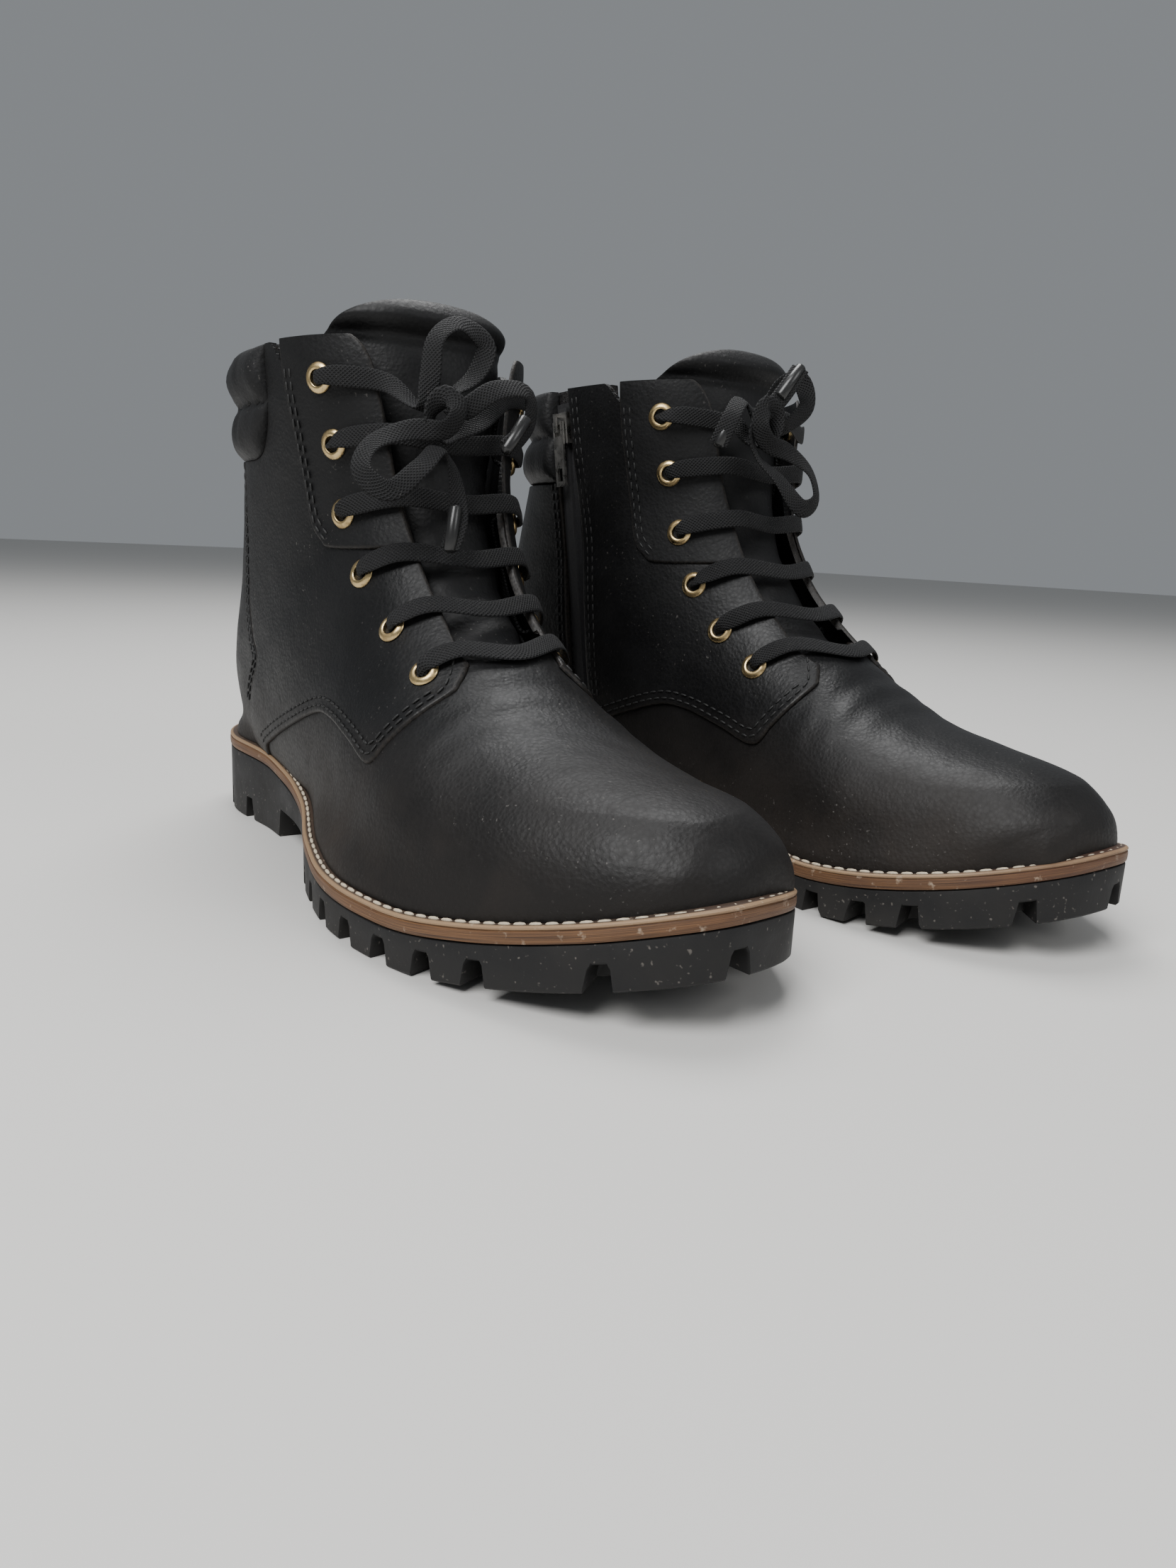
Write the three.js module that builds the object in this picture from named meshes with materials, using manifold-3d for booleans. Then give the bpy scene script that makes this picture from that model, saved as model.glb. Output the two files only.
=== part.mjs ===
// A pair of six-eyelet leather boots with welted lug soles and a zip on the inner side of each boot.
// Millimetres, +Z up, toes towards -Y. The right boot stands at -X; the left boot is its mirror image.
// One boot is drawn in its own frame: +X is the inner side, the origin lies under the middle of the sole.
import * as THREE from "three";
import { mergeVertices } from "three/addons/utils/BufferGeometryUtils.js";
import Module from "manifold-3d";

const wasm = await Module();
wasm.setup();

// ---- driving dimensions ----
const clearance = 0.3; // between pieces that touch
const weltThickness = 4.9;
const forefootRubber = 10.7; // height of the rubber's upper face under the ball of the foot
const heelRise = 15.4; // how much higher that face lies at the heel
const toeSpring = 15.4; // height of the tread under the toe tip
const leather = 2;
const laceRadius = 1.1;
const liningDepth = [-7.3, -5.3]; // offsets from the outer face of the leather
const facingDepth = [0.35, 1.6];
const tongueDepth = [-9.6, -6.2];
const padDepth = [-2, 5.5];
const shaftTop = 15; // station of the collar's upper edge
const finest = 0.05; // details smaller than this are smoothed away from the cut solids
const rightTurn = -3.5; // degrees about the vertical
const leftTurn = 2;
const leftPlace = [125.5, -23.4]; // left boot from the right one

// Outline of the sole, inner side first: x, y.
const soleOutline = [
  [0, 152.5], [27, 143], [38, 118], [39, 85], [35, 40], [36.5, 0], [44, -40], [50, -72], [48, -100],
  [39.5, -124], [25.5, -141], [8, -148], [-9, -146.5], [-26.5, -132], [-41.5, -108], [-54.5, -75],
  [-59.5, -40], [-54, -5], [-42, 35], [-38.5, 75], [-40.5, 115], [-28, 144],
];

// Stations of the upper, from the toe tip to the top of the tongue. Each is a slanted egg-shaped section:
// front y, z; back y, z; half width; centre x; ridge shift x; place of the widest point (0 front, 1 back);
// roundness of the front and of the back half.
const stations = [
  [-143.5, 34.5, -143.5, 34.5, 0, 7, 0, 0.55, 2.2, 2.3],
  [-141, 44, -141, 22, 17, 6.5, 0, 0.55, 2.2, 2.3],
  [-134, 50, -134, 14, 24.5, 5.5, 0, 0.56, 2.2, 2.3],
  [-122, 54, -122, 10, 32, 3.5, 0, 0.58, 2.2, 2.4],
  [-100, 57, -100, 6, 40, 0.5, 0, 0.6, 2.2, 2.5],
  [-76, 62, -75, 4, 45, -2, 2, 0.62, 2.15, 2.5],
  [-57, 71, -48, 4, 45, -5.5, 5, 0.62, 2.1, 2.5],
  [-42, 81, -12, 6, 41, -6.5, 6, 0.62, 2.1, 2.5],
  [-28, 92, 30, 10, 38.5, -5.5, 5, 0.6, 2.2, 2.5],
  [-16, 104, 75, 14, 38.5, -3, 3, 0.62, 2.3, 2.7],
  [-7, 117, 115, 22, 39.5, -1.5, 2, 0.62, 2.4, 2.8],
  [-2, 130, 143.5, 44, 39.5, 0, 1, 0.6, 2.4, 2.7],
  [1, 143, 143, 80, 39, 0, 0, 0.54, 2.4, 2.4],
  [4, 156, 132, 116, 41, 0, 0, 0.5, 2.4, 2.3],
  [6, 167, 122, 146, 43.5, 0, 0, 0.5, 2.4, 2.25],
  [8, 176, 121, 174, 45, 0, 0, 0.5, 2.4, 2.2],
  [11, 187, 121, 186, 45, 0, 0, 0.5, 2.4, 2.2],
  [16, 198, 121, 198, 45, 0, 0, 0.5, 2.4, 2.2],
];

// Seams in side view: y, z.
const quarterSeam = [
  [-33, 87], [-38, 81.5], [-41, 78], [-44.6, 73.5], [-45.8, 69], [-38, 56], [-31, 48], [-13, 52],
  [5, 56], [19, 55.5], [45, 46.5], [66, 38], [76, 33], [79, 22],
];
const heelSeam = [[86, 146], [90, 118], [91, 92], [87, 76], [80, 66], [88, 52], [97, 22]];
const padBorder = [[50, 190], [53, 172], [54, 158], [59, 147], [68, 140], [90, 139], [150, 139]];
const facingBorder = [[41, 190], [40, 150], [37, 121], [31, 112], [22, 109.5], [-20, 111]];
// Edge of the lacing opening in front view: x, z.
const openingEdge = [
  [0, 76.5], [13, 76.5], [16.6, 79.5], [16, 95], [17, 118],
  [20, 145], [22.5, 158], [27, 169], [36, 178], [60, 182],
];
const eyeletPlaces = [[27, 74.5], [27.5, 86], [28.5, 102], [29, 121], [31.5, 143], [35.5, 163]]; // x, z
const zipTop = [43.2, 74.5, 168]; // x, y, z of the chain's middle line
const zipBottom = [36.3, 61.5, 47];
const zipSlot = 12; // width of the gap in the leather

// The lace, from one tip to the other. Laced rows: across, level, depth, where -1 and 1 across are the two
// rows of eyelets and level 1 is the lowest pair.
const lacedRows = [
  [-0.5, 5.72, 3.6], [-0.82, 5.95, 5], [-1, 6, 4.4], [-1, 6, -4.2],
  [-0.86, 5, -4.2], [-1, 4, -4.2], [-1, 4, 4.4], [-0.85, 4, 5.1],
  [-0.42, 3.8, 4.3], [0, 3.62, -0.8], [0.42, 3.8, 4.3], [0.85, 4, 5.1], [1, 4, 4.4], [1, 4, -4.2],
  [0.86, 3, -4.2], [1, 2, -4.2], [1, 2, 2.7], [0.85, 2, 3.7], [0.55, 1.88, 3.1], [0, 1.62, -0.6],
  [-0.55, 1.88, 3.1], [-0.85, 2, 3.7], [-1, 2, 2.7], [-1, 2, -4.2], [-1, 1, -4.2], [-1, 1, 2.7],
  [-0.85, 1, 3.7], [-0.55, 0.88, 3.1], [0, 0.52, 1.6], [0.55, 0.88, 3.1], [0.85, 1, 3.7], [1, 1, 2.7],
  [1, 1, -4.2], [1.13, 2, -4.2], [1, 3, -4.2], [1, 3, 2.7], [0.85, 3, 3.7], [0.55, 2.88, 3.1],
  [0, 2.62, -0.8], [-0.55, 2.88, 3.1], [-0.85, 3, 3.7], [-1, 3, 2.7], [-1, 3, -4.2], [-1.13, 4, -4.2],
  [-1, 5, -4.2], [-1, 5, 4.4], [-0.85, 5, 5.1], [-0.45, 4.84, 4.3], [0, 4.68, -0.8], [0.45, 4.84, 4.3],
  [0.85, 5, 5.1], [1, 5, 4.4], [1, 5, -4.2], [1, 6, -4.2], [1, 6, 4.4], [0.82, 5.95, 5], [0.5, 5.72, 3.6],
];
// The knot's place in the same terms, and the ends of the lace from it: towards the inner side, up, out.
const bowSpot = { right: [-0.2, 4.9, 8], left: [0.3, 5.4, 8] };
const firstEnd = {
  right: [
    [21, -8, 5], [30, 2, 2], [29, 11, 4], [17, 9, 9], [6, 2, 8], [3, 7, 4], [12, 15, 3], [16, 25, 3],
    [7, 30, 5], [-1, 24, 6], [-3, 12, 5], [-5, 3, 2],
  ],
  left: [
    [19, -7, 7], [15, 3, 10], [9, 9, 7], [2, 3, 6], [-3, 8, 3], [-9, 17, 2], [-17, 20, 4],
    [-19, 10, 6], [-10, 2, 6], [-4, 1, 3], [-14, 6, 0],
  ],
};
const secondEnd = {
  right: [
    [14, 2, -2], [5, -3, 0], [-1, -6, 4], [-4, 0, 8], [0, 5, 11], [4, 1, 12], [0, -5, 10],
    [-10, -5, 7], [-22, -10, 7], [-26, -19, 9], [-18, -25, 11], [-8, -17, 11], [-1, -10, 7],
    [4, -17, 4], [5, -30, 3], [2, -40, 3],
  ],
  left: [
    [7, 2, 0], [2, -4, 2], [-3, -4, 7], [-3, 4, 10], [2, 7, 12], [5, 0, 12], [0, -6, 10],
    [-10, -8, 8], [-20, -14, 7], [-22, -24, 8], [-14, -28, 10], [-5, -18, 9], [2, -10, 6], [6, -1, 9],
    [-4, 10, 11], [-12, 21, 12],
  ],
};

// ---- small helpers ----
const vec = (x, y, z) => new THREE.Vector3(x, y, z);
const mix = (a, b, s) => a + (b - a) * s;
const smooth = (s) => {
  const c = Math.min(1, Math.max(0, s));
  return c * c * (3 - 2 * c);
};
const range = (count) => Array.from({ length: count }, (_, i) => i);
const spread = (from, to, count) => range(count).map((i) => mix(from, to, i / (count - 1)));

// Heights of the sole's faces along the boot.
const toeCurl = (y, start) => Math.max(0, (start - y) / (start + 150)) ** 1.6;
const treadHeight = (y) => toeSpring * toeCurl(y, -70);
const rubberTop = (y) => forefootRubber + 18.1 * toeCurl(y, -65) + heelRise * smooth((y + 35) / 140);
const weltTop = (y) => rubberTop(y) + clearance + weltThickness;
const footing = (y) => weltTop(y) + clearance;

// ---- the upper as a surface: t runs from the toe up the shaft, u from -1 (outer side) to 1 (inner) ----
function stationAt(t) {
  const last = stations.length - 1;
  const i = Math.min(last - 1, Math.max(0, Math.floor(t)));
  const s = t - i;
  const slope = (k, c) => {
    if (k === 0) return c === 1 || c === 3 || c === 4 ? stations[1][c] - stations[0][c] : 0;
    if (k === last) return stations[k][c] - stations[k - 1][c];
    return (stations[k + 1][c] - stations[k - 1][c]) / 2;
  };
  return stations[i].map(
    (a, c) =>
      (2 * s ** 3 - 3 * s ** 2 + 1) * a +
      (s ** 3 - 2 * s ** 2 + s) * slope(i, c) +
      (3 * s ** 2 - 2 * s ** 3) * stations[i + 1][c] +
      (s ** 3 - s ** 2) * slope(i + 1, c),
  );
}

// One side of a section as a dense line from the ridge to the back, ended where it meets the welt.
function sectionLine(t, side) {
  const [frontY, frontZ, backY, backZ, half, centre, ridge, widest, over, under] = stationAt(t);
  const line = [];
  for (const a of spread(0, Math.PI, 61)) {
    const s = Math.sin(a) ** (2 / (a < Math.PI / 2 ? over : under));
    const c = Math.abs(Math.cos(a)) ** (2 / (a < Math.PI / 2 ? over : under));
    const b = a < Math.PI / 2 ? widest * (1 - c) : widest + (1 - widest) * c;
    const p = vec(
      centre + ridge * (1 - b) ** 2 + side * half * (a === Math.PI ? 0 : s),
      mix(frontY, backY, b),
      mix(frontZ, backZ, b),
    );
    const before = line[line.length - 1];
    if (before && p.z < footing(p.y)) {
      const high = before.z - footing(before.y);
      line.push(before.clone().lerp(p, high / (high + footing(p.y) - p.z)));
      return { line, closed: false };
    }
    line.push(p);
  }
  return { line, closed: true };
}

const sectionCache = new Map();
function section(t) {
  if (!sectionCache.has(t)) {
    const sides = [-1, 1].map((side) => {
      const { line, closed } = sectionLine(t, side);
      const lengths = [0];
      line.slice(1).forEach((p, i) => lengths.push(lengths[i] + p.distanceTo(line[i])));
      return { line, lengths, closed };
    });
    sectionCache.set(t, sides);
  }
  return sectionCache.get(t);
}

// Past u = 1 or -1 a closed section goes on round the back to the other side.
function upperPoint(t, u) {
  const sides = section(t);
  const wraps = Math.abs(u) > 1 && sides[0].closed;
  const fraction = wraps ? 2 - Math.abs(u) : Math.min(1, Math.abs(u));
  const { line, lengths } = sides[u < 0 === wraps ? 1 : 0];
  const along = fraction * lengths[lengths.length - 1];
  let k = 1;
  while (k < line.length - 1 && lengths[k] < along) k += 1;
  const span = lengths[k] - lengths[k - 1];
  return line[k - 1].clone().lerp(line[k], span > 0 ? (along - lengths[k - 1]) / span : 0);
}

function upperNormal(t, u) {
  const h = 0.02;
  const top = stations.length - 1;
  const across = upperPoint(t, u + h).sub(upperPoint(t, u - h));
  const along = upperPoint(Math.min(top, t + h), u).sub(upperPoint(Math.max(0, t - h), u));
  const normal = across.cross(along);
  return t < h || normal.lengthSq() < 1e-12 ? vec(0, -1, 0) : normal.normalize();
}

function upperOffset(t, u, depth) {
  const p = upperPoint(t, u).addScaledVector(upperNormal(t, u), depth);
  p.z = Math.max(p.z, footing(p.y));
  return p;
}

const bisect = (low, high, isBelow) => {
  for (let i = 0; i < 26; i += 1) {
    const middle = (low + high) / 2;
    if (isBelow(middle)) low = middle;
    else high = middle;
  }
  return (low + high) / 2;
};
const stationAtHeight = (z, u) => bisect(5, stations.length - 1.01, (t) => upperPoint(t, u).z < z);
// The place on the upper with a given distance from the middle plane and a given height.
function placeOn(side, x, z) {
  const v = bisect(0, 0.6, (w) => side * upperPoint(stationAtHeight(z, side * w), side * w).x < x);
  const t = stationAtHeight(z, side * v);
  return { t, u: side * v, point: upperPoint(t, side * v), normal: upperNormal(t, side * v) };
}
const heelStation = bisect(9, 13, (t) => !section(t)[0].closed);

// ---- solids ----
function geometryFrom(points, triangles) {
  const geometry = new THREE.BufferGeometry();
  const numbers = points.flatMap((p) => p.toArray());
  geometry.setAttribute("position", new THREE.Float32BufferAttribute(numbers, 3));
  geometry.setIndex(triangles.flat());
  return geometry;
}

function toManifold(geometry, matrix = new THREE.Matrix4()) {
  const plain = new THREE.BufferGeometry();
  plain.setAttribute("position", geometry.getAttribute("position").clone());
  if (geometry.index) plain.setIndex(geometry.index.clone());
  plain.applyMatrix4(matrix);
  const merged = mergeVertices(plain, 1e-4);
  const corners = merged.index.array;
  const kept = [];
  for (let i = 0; i < corners.length; i += 3) {
    const [a, b, c] = corners.slice(i, i + 3);
    if (a !== b && b !== c && c !== a) kept.push(a, b, c);
  }
  return new wasm.Manifold(
    new wasm.Mesh({
      numProp: 3,
      vertProperties: merged.attributes.position.array,
      triVerts: new Uint32Array(kept),
    }),
  );
}

function fromManifold(solid) {
  const { vertProperties, triVerts, numProp } = solid.asOriginal().simplify(finest).getMesh();
  const points = range(vertProperties.length / numProp).map((i) =>
    vec(...vertProperties.slice(i * numProp, i * numProp + 3)),
  );
  const triangles = range(triVerts.length / 3).map((i) => [...triVerts.slice(i * 3, i * 3 + 3)]);
  return geometryFrom(points, triangles);
}

const subtractAll = (solid, cutters) => cutters.reduce((rest, cutter) => rest.subtract(cutter), solid);

// A closed solid between two grids of points. The outer grid's rows and columns turn so that
// (next column - point) x (next row - point) faces out. Rows may join into rings.
function gridSolid(outer, inner, joined = () => false) {
  const rows = outer.length;
  const columns = outer[0].length;
  const id = (layer, i, j) => (layer * rows + i) * columns + (j === columns - 1 && joined(i) ? 0 : j);
  const triangles = [];
  const quad = (a, b, c, d) => triangles.push([a, b, c], [a, c, d]);
  for (const i of range(rows - 1)) {
    for (const j of range(columns - 1)) {
      quad(id(0, i, j), id(0, i, j + 1), id(0, i + 1, j + 1), id(0, i + 1, j));
      quad(id(1, i, j), id(1, i + 1, j), id(1, i + 1, j + 1), id(1, i, j + 1));
    }
    if (!(joined(i) && joined(i + 1))) {
      quad(id(0, i, 0), id(0, i + 1, 0), id(1, i + 1, 0), id(1, i, 0));
      const e = columns - 1;
      quad(id(0, i + 1, e), id(0, i, e), id(1, i, e), id(1, i + 1, e));
    }
  }
  for (const j of range(columns - 1)) {
    quad(id(0, 0, j + 1), id(0, 0, j), id(1, 0, j), id(1, 0, j + 1));
    const e = rows - 1;
    quad(id(0, e, j), id(0, e, j + 1), id(1, e, j + 1), id(1, e, j));
  }
  return geometryFrom([...outer.flat(), ...inner.flat()], triangles);
}

// The whole upper as one shell between two offsets of the surface.
function upperShell([innerDepth, outerDepth], rowStep, columns) {
  const heel = [1.5, 1, 0.6, 0.3, 0.1, 0].map((back) => heelStation - back);
  const rows = [
    0, 0.15, 0.4, 0.8, 1.3,
    ...spread(2, heelStation - 2, Math.round(8 / rowStep)),
    ...heel,
    ...spread(heelStation + 0.6, shaftTop, Math.round(4 / rowStep)),
  ];
  const us = spread(-1, 1, columns);
  const grid = (depth) => rows.map((t) => us.map((u) => upperOffset(t, u, depth)));
  const joined = (i) => rows[i] >= heelStation;
  return toManifold(gridSolid(grid(outerDepth), grid(innerDepth), joined));
}

// A prism from a side-view outline (y, z), run along x.
function sidePrism(points, fromX, toX) {
  const shape = new THREE.Shape(points.map(([y, z]) => new THREE.Vector2(y, z)));
  const geometry = new THREE.ExtrudeGeometry(shape, { depth: toX - fromX, bevelEnabled: false });
  const turn = new THREE.Matrix4().makeBasis(vec(0, 1, 0), vec(0, 0, 1), vec(1, 0, 0));
  return toManifold(geometry, turn.setPosition(fromX, 0, 0));
}

// The same from a front-view outline (x, z), run along y.
function frontPrism(points, fromY, toY) {
  const shape = new THREE.Shape(points.map(([x, z]) => new THREE.Vector2(x, z)));
  const geometry = new THREE.ExtrudeGeometry(shape, { depth: toY - fromY, bevelEnabled: false });
  const turn = new THREE.Matrix4().makeBasis(vec(1, 0, 0), vec(0, 0, 1), vec(0, -1, 0));
  return toManifold(geometry, turn.setPosition(0, toY, 0));
}

// A line widened to a ribbon, as a closed outline.
function ribbon(points, width) {
  const sides = points.map(([a, b], i) => {
    const before = points[Math.max(0, i - 1)];
    const after = points[Math.min(points.length - 1, i + 1)];
    const run = new THREE.Vector2(after[0] - before[0], after[1] - before[1]).normalize();
    const away = [(run.y * width) / 2, (run.x * width) / 2];
    return [a - away[0], b + away[1], a + away[0], b - away[1]];
  });
  return [...sides.map((s) => [s[0], s[1]]), ...sides.reverse().map((s) => [s[2], s[3]])];
}

function smoothLine(points, count) {
  const curve = new THREE.SplineCurve(points.map(([a, b]) => new THREE.Vector2(a, b)));
  return curve.getPoints(count).map((p) => [p.x, p.y]);
}

// A plate over a closed rim, clockwise seen from above, whose points i and n - i face each other.
function plate(rim, inset, low, high) {
  const n = rim.length;
  const inward = rim.map(([x, y], i) => {
    const a = rim[(i + n - 1) % n];
    const b = rim[(i + 1) % n];
    const run = new THREE.Vector2(b[0] - a[0], b[1] - a[1]).normalize();
    return [x + run.y * inset, y - run.x * inset];
  });
  const half = n / 2;
  const points = [low, high].flatMap((height) => inward.map(([x, y]) => vec(x, y, height(y))));
  const triangles = [];
  for (const i of range(half)) {
    const [a, b, c, d] = [i, i + 1, (n - i - 1) % n, (n - i) % n];
    triangles.push([a, b, c], [a, c, d], [n + a, n + c, n + b], [n + a, n + d, n + c]);
  }
  for (const i of range(n)) {
    const j = (i + 1) % n;
    triangles.push([i, n + i, n + j], [i, n + j, j]);
  }
  return toManifold(geometryFrom(points, triangles));
}

const box = (sx, sy, sz) => new THREE.BoxGeometry(sx, sy, sz);

// The piece of a cut solid that lies nearest to a marker.
function pieceAt(pieces, marker) {
  const target = vec(...marker);
  const distance = (piece) => {
    const { vertProperties, numProp } = piece.getMesh();
    const corner = (i) => vec(...vertProperties.slice(i * numProp, i * numProp + 3));
    return Math.min(...range(vertProperties.length / numProp).map((i) => target.distanceTo(corner(i))));
  };
  return pieces.reduce((best, piece) => (distance(piece) < distance(best) ? piece : best));
}

// ---- materials ----
const material = (color, roughness, metalness = 0) =>
  new THREE.MeshStandardMaterial({ color, roughness, metalness });
const paints = {
  leather: () => material(0x1d1d1f, 0.55),
  tongue: () => material(0x232325, 0.5),
  rubber: () => material(0x161617, 0.8),
  welt: () => material(0x9a7247, 0.7),
  board: () => material(0xa98b66, 0.9),
  foam: () => material(0x2a2a2c, 0.9),
  fleece: () => material(0x1a1a1b, 1),
  cord: () => material(0x0f0f10, 0.95),
  brass: () => material(0xb08a45, 0.35, 1),
  steel: () => material(0x6a6a6c, 0.4, 1),
  zip: () => material(0x141415, 0.7),
};

// ---- sub-parts of one boot: each returns [name, geometry, paint] ----
const rimCurve = (points) => new THREE.CatmullRomCurve3(points, true, "centripetal");
const evenRim = (points, count) => {
  const spaced = rimCurve(points).getSpacedPoints(count);
  return spaced.slice(0, count).map((p) => [p.x, p.y]);
};
const solePoints = soleOutline.map(([x, y]) => vec(x, y, 0));
const soleRim = evenRim(solePoints, 56);

// Side notches between the lugs: from the toe to the heel on each side, as fractions of the rim.
function lugNotches() {
  const rim = rimCurve(solePoints);
  const forefoot = [...spread(0.235, 0.405, 8), 0.452, 0.5, 0.55, ...spread(0.6, 0.775, 8)];
  const heel = [0.012, 0.045, 0.08, 0.115, 0.15, 0.885, 0.92, 0.955, 0.985];
  return [...forefoot.map((s) => [s, 5, 6.5]), ...heel.map((s) => [s, 5, 8])].map(([s, width, height]) => {
    const p = rim.getPointAt(s);
    const run = rim.getTangentAt(s);
    const matrix = new THREE.Matrix4().makeRotationZ(Math.atan2(run.y, run.x));
    matrix.setPosition(p.x, p.y, treadHeight(p.y) + height / 2 - 2);
    return toManifold(box(width, 22, height), matrix);
  });
}

function outsole() {
  const block = plate(soleRim, 0, treadHeight, rubberTop);
  const waist = sidePrism([[10, -4], [66, -4], [66, 11], [52, 12], [34, 8]], -80, 80);
  return fromManifold(subtractAll(block, [waist, ...lugNotches()]));
}

const shankRim = [
  ...spread(70, -30, 8).map((y) => [7, y]),
  ...spread(-30, 70, 8).map((y) => [-7, y]),
];
const shankTop = (y) => weltTop(y) - clearance;
const shankLow = (y) => weltTop(y) - 1.8;

function welt() {
  const low = (y) => rubberTop(y) + clearance;
  const pocket = plate(shankRim, -clearance, (y) => shankLow(y) - clearance, (y) => weltTop(y) + 2);
  return fromManifold(plate(soleRim, 0, low, weltTop).subtract(pocket));
}

const shank = () => fromManifold(plate(shankRim, 0, shankLow, shankTop));

// The line where the upper stands on the welt, from the heel along the inner side to the toe and back.
const footRim = (() => {
  const ts = [0.4, 1.3, ...spread(2.5, heelStation - 2, 8), heelStation - 1, heelStation - 0.4];
  const at = (t, u) => upperPoint(t, u).setZ(0);
  const inner = ts.map((t) => at(t, 1)).reverse();
  const outer = ts.map((t) => at(t, -1));
  return evenRim([at(heelStation, 1), ...inner, at(0, 0), ...outer], 40);
})();

const insoleBoard = () => fromManifold(plate(footRim, 8.4, footing, (y) => footing(y) + 2.2));
const footbed = () => fromManifold(plate(footRim, 8.7, (y) => footing(y) + 2.5, (y) => footing(y) + 8));

// Cutters shared by the leather, the facings and the lining.
function opening(grow) {
  const right = smoothLine(openingEdge, 16).map(([x, z]) => [x + grow, z - grow]);
  const left = right.map(([x, z]) => [-x, z]).reverse();
  return frontPrism([[0, 76.5 - grow], ...right, [70, 220], [-70, 220], ...left.slice(0, -1)], -75, 45);
}

function eyeletHoles(radius) {
  return [-1, 1].flatMap((side) =>
    eyeletPlaces.map(([x, z]) => {
      const { point, normal } = placeOn(side, x, z);
      const turn = new THREE.Quaternion().setFromUnitVectors(vec(0, 1, 0), normal);
      const matrix = new THREE.Matrix4().compose(point, turn, vec(1, 1, 1));
      return toManifold(new THREE.CylinderGeometry(radius, radius, 9, 8), matrix);
    }),
  );
}

const zipDirection = vec(...zipTop).sub(vec(...zipBottom)).normalize();
const zipAcross = vec(0, 1, 0).addScaledVector(zipDirection, -zipDirection.y).normalize();
const zipOut = zipAcross.clone().cross(zipDirection).normalize();
// Frame on the zip: across the boot's length, outwards, and up the chain.
const zipFrame = (up, out = 0, across = 0) =>
  new THREE.Matrix4()
    .makeBasis(zipOut, zipAcross, zipDirection)
    .setPosition(
      vec(...zipTop)
        .addScaledVector(zipDirection, up)
        .addScaledVector(zipOut, out)
        .addScaledVector(zipAcross, across),
    );

function leatherPanels() {
  const shell = upperShell([-leather, 0], 0.8, 21);
  const border = smoothLine(padBorder, 12);
  const padRoom = [...border, [150, 190]];
  const seam = ribbon(smoothLine(quarterSeam, 26), clearance);
  const zipLength = vec(...zipTop).distanceTo(vec(...zipBottom));
  const slot = toManifold(box(14, zipSlot, zipLength + 24), zipFrame(-zipLength / 2 + 8, 0));
  const [, slotEnd, slotFoot] = zipBottom;
  const belowSlot = ribbon([[slotEnd, slotFoot + 2], [slotEnd - 2, slotFoot - 12]], clearance);
  const cut = subtractAll(shell, [
    opening(0),
    sidePrism(padRoom, -80, -1),
    sidePrism([[60, 139], [150, 139], [150, 190], [60, 190]], -1.5, 80).subtract(
      sidePrism([[0, 0], [zipTop[1], 0], [zipTop[1], 200], [0, 200]], -2, 81),
    ),
    sidePrism(seam, -80, -9),
    sidePrism(seam, 9, 80),
    sidePrism(ribbon(smoothLine(heelSeam, 12), clearance), -80, -1),
    sidePrism(belowSlot, 10, 80),
    slot,
    ...eyeletHoles(3.5),
  ]);
  const pieces = cut.decompose();
  const markers = {
    vamp: [0, -110, 56],
    quarter_lateral: [-40, 40, 100],
    quarter_medial: [39, 40, 100],
    heel_quarter: [0, 143, 70],
  };
  const panel = ([name, marker]) => [name, fromManifold(pieceAt(pieces, marker)), "leather"];
  return Object.entries(markers).map(panel);
}

function facings() {
  const overlay = upperShell(facingDepth, 0.8, 21)
    .subtract(opening(0))
    .subtract(sidePrism([[-80, 0], [160, 0], [160, 111], [31, 111], [-80, 111]], -80, 80));
  const area = [...smoothLine(facingBorder, 14), [-20, 190]];
  const pieces = subtractAll(overlay, eyeletHoles(3.5)).intersect(sidePrism(area, -80, 80)).decompose();
  return [
    ["facing_lateral", fromManifold(pieceAt(pieces, [-38, 30, 150])), "leather"],
    ["facing_medial", fromManifold(pieceAt(pieces, [38, 30, 150])), "leather"],
  ];
}

function lining() {
  const shell = upperShell(liningDepth, 0.8, 15);
  return fromManifold(shell.subtract(opening(19)));
}

function collarPad() {
  const heights = spread(141, 175, 9);
  const us = [...spread(-1.4, -1.07, 6), ...spread(-1, -0.475, 8)];
  const roll = (z) => Math.sqrt(Math.abs(Math.sin(((z - 141) / 34) * 2 * Math.PI))) * (padDepth[1] - 1) + 1;
  const padPoint = (z, u, depth) => upperOffset(stationAtHeight(z, u), u, depth(z));
  const grid = (depth) => heights.map((z) => us.map((u) => padPoint(z, u, depth)));
  const room = smoothLine(padBorder, 12).map(([y, z]) => [y + 1, z + 0.6]);
  const pad = toManifold(gridSolid(grid(roll), grid(() => padDepth[0])));
  return fromManifold(pad.intersect(sidePrism([...room, [150, 200], [60, 200]], -80, 80)));
}

function tongue() {
  const rows = [...spread(6.3, 15, 10), 15.5, 16, 16.5, 16.8];
  const reach = (t) => 0.17 + 0.08 * smooth((t - 6.3) / 6) + 0.11 * smooth((t - 14.8) / 0.7);
  const trim = (t) => (t > 16 ? Math.sqrt(1 - ((t - 16) / 0.95) ** 2) : 1);
  const outerDepth = (t) => tongueDepth[1] + 4.5 * smooth((t - 15) / 0.8);
  const grid = (depth) =>
    rows.map((t) => spread(-1, 1, 9).map((s) => upperOffset(t, s * reach(t) * trim(t), depth(t))));
  return gridSolid(grid(outerDepth), grid(() => tongueDepth[0]));
}

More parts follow.
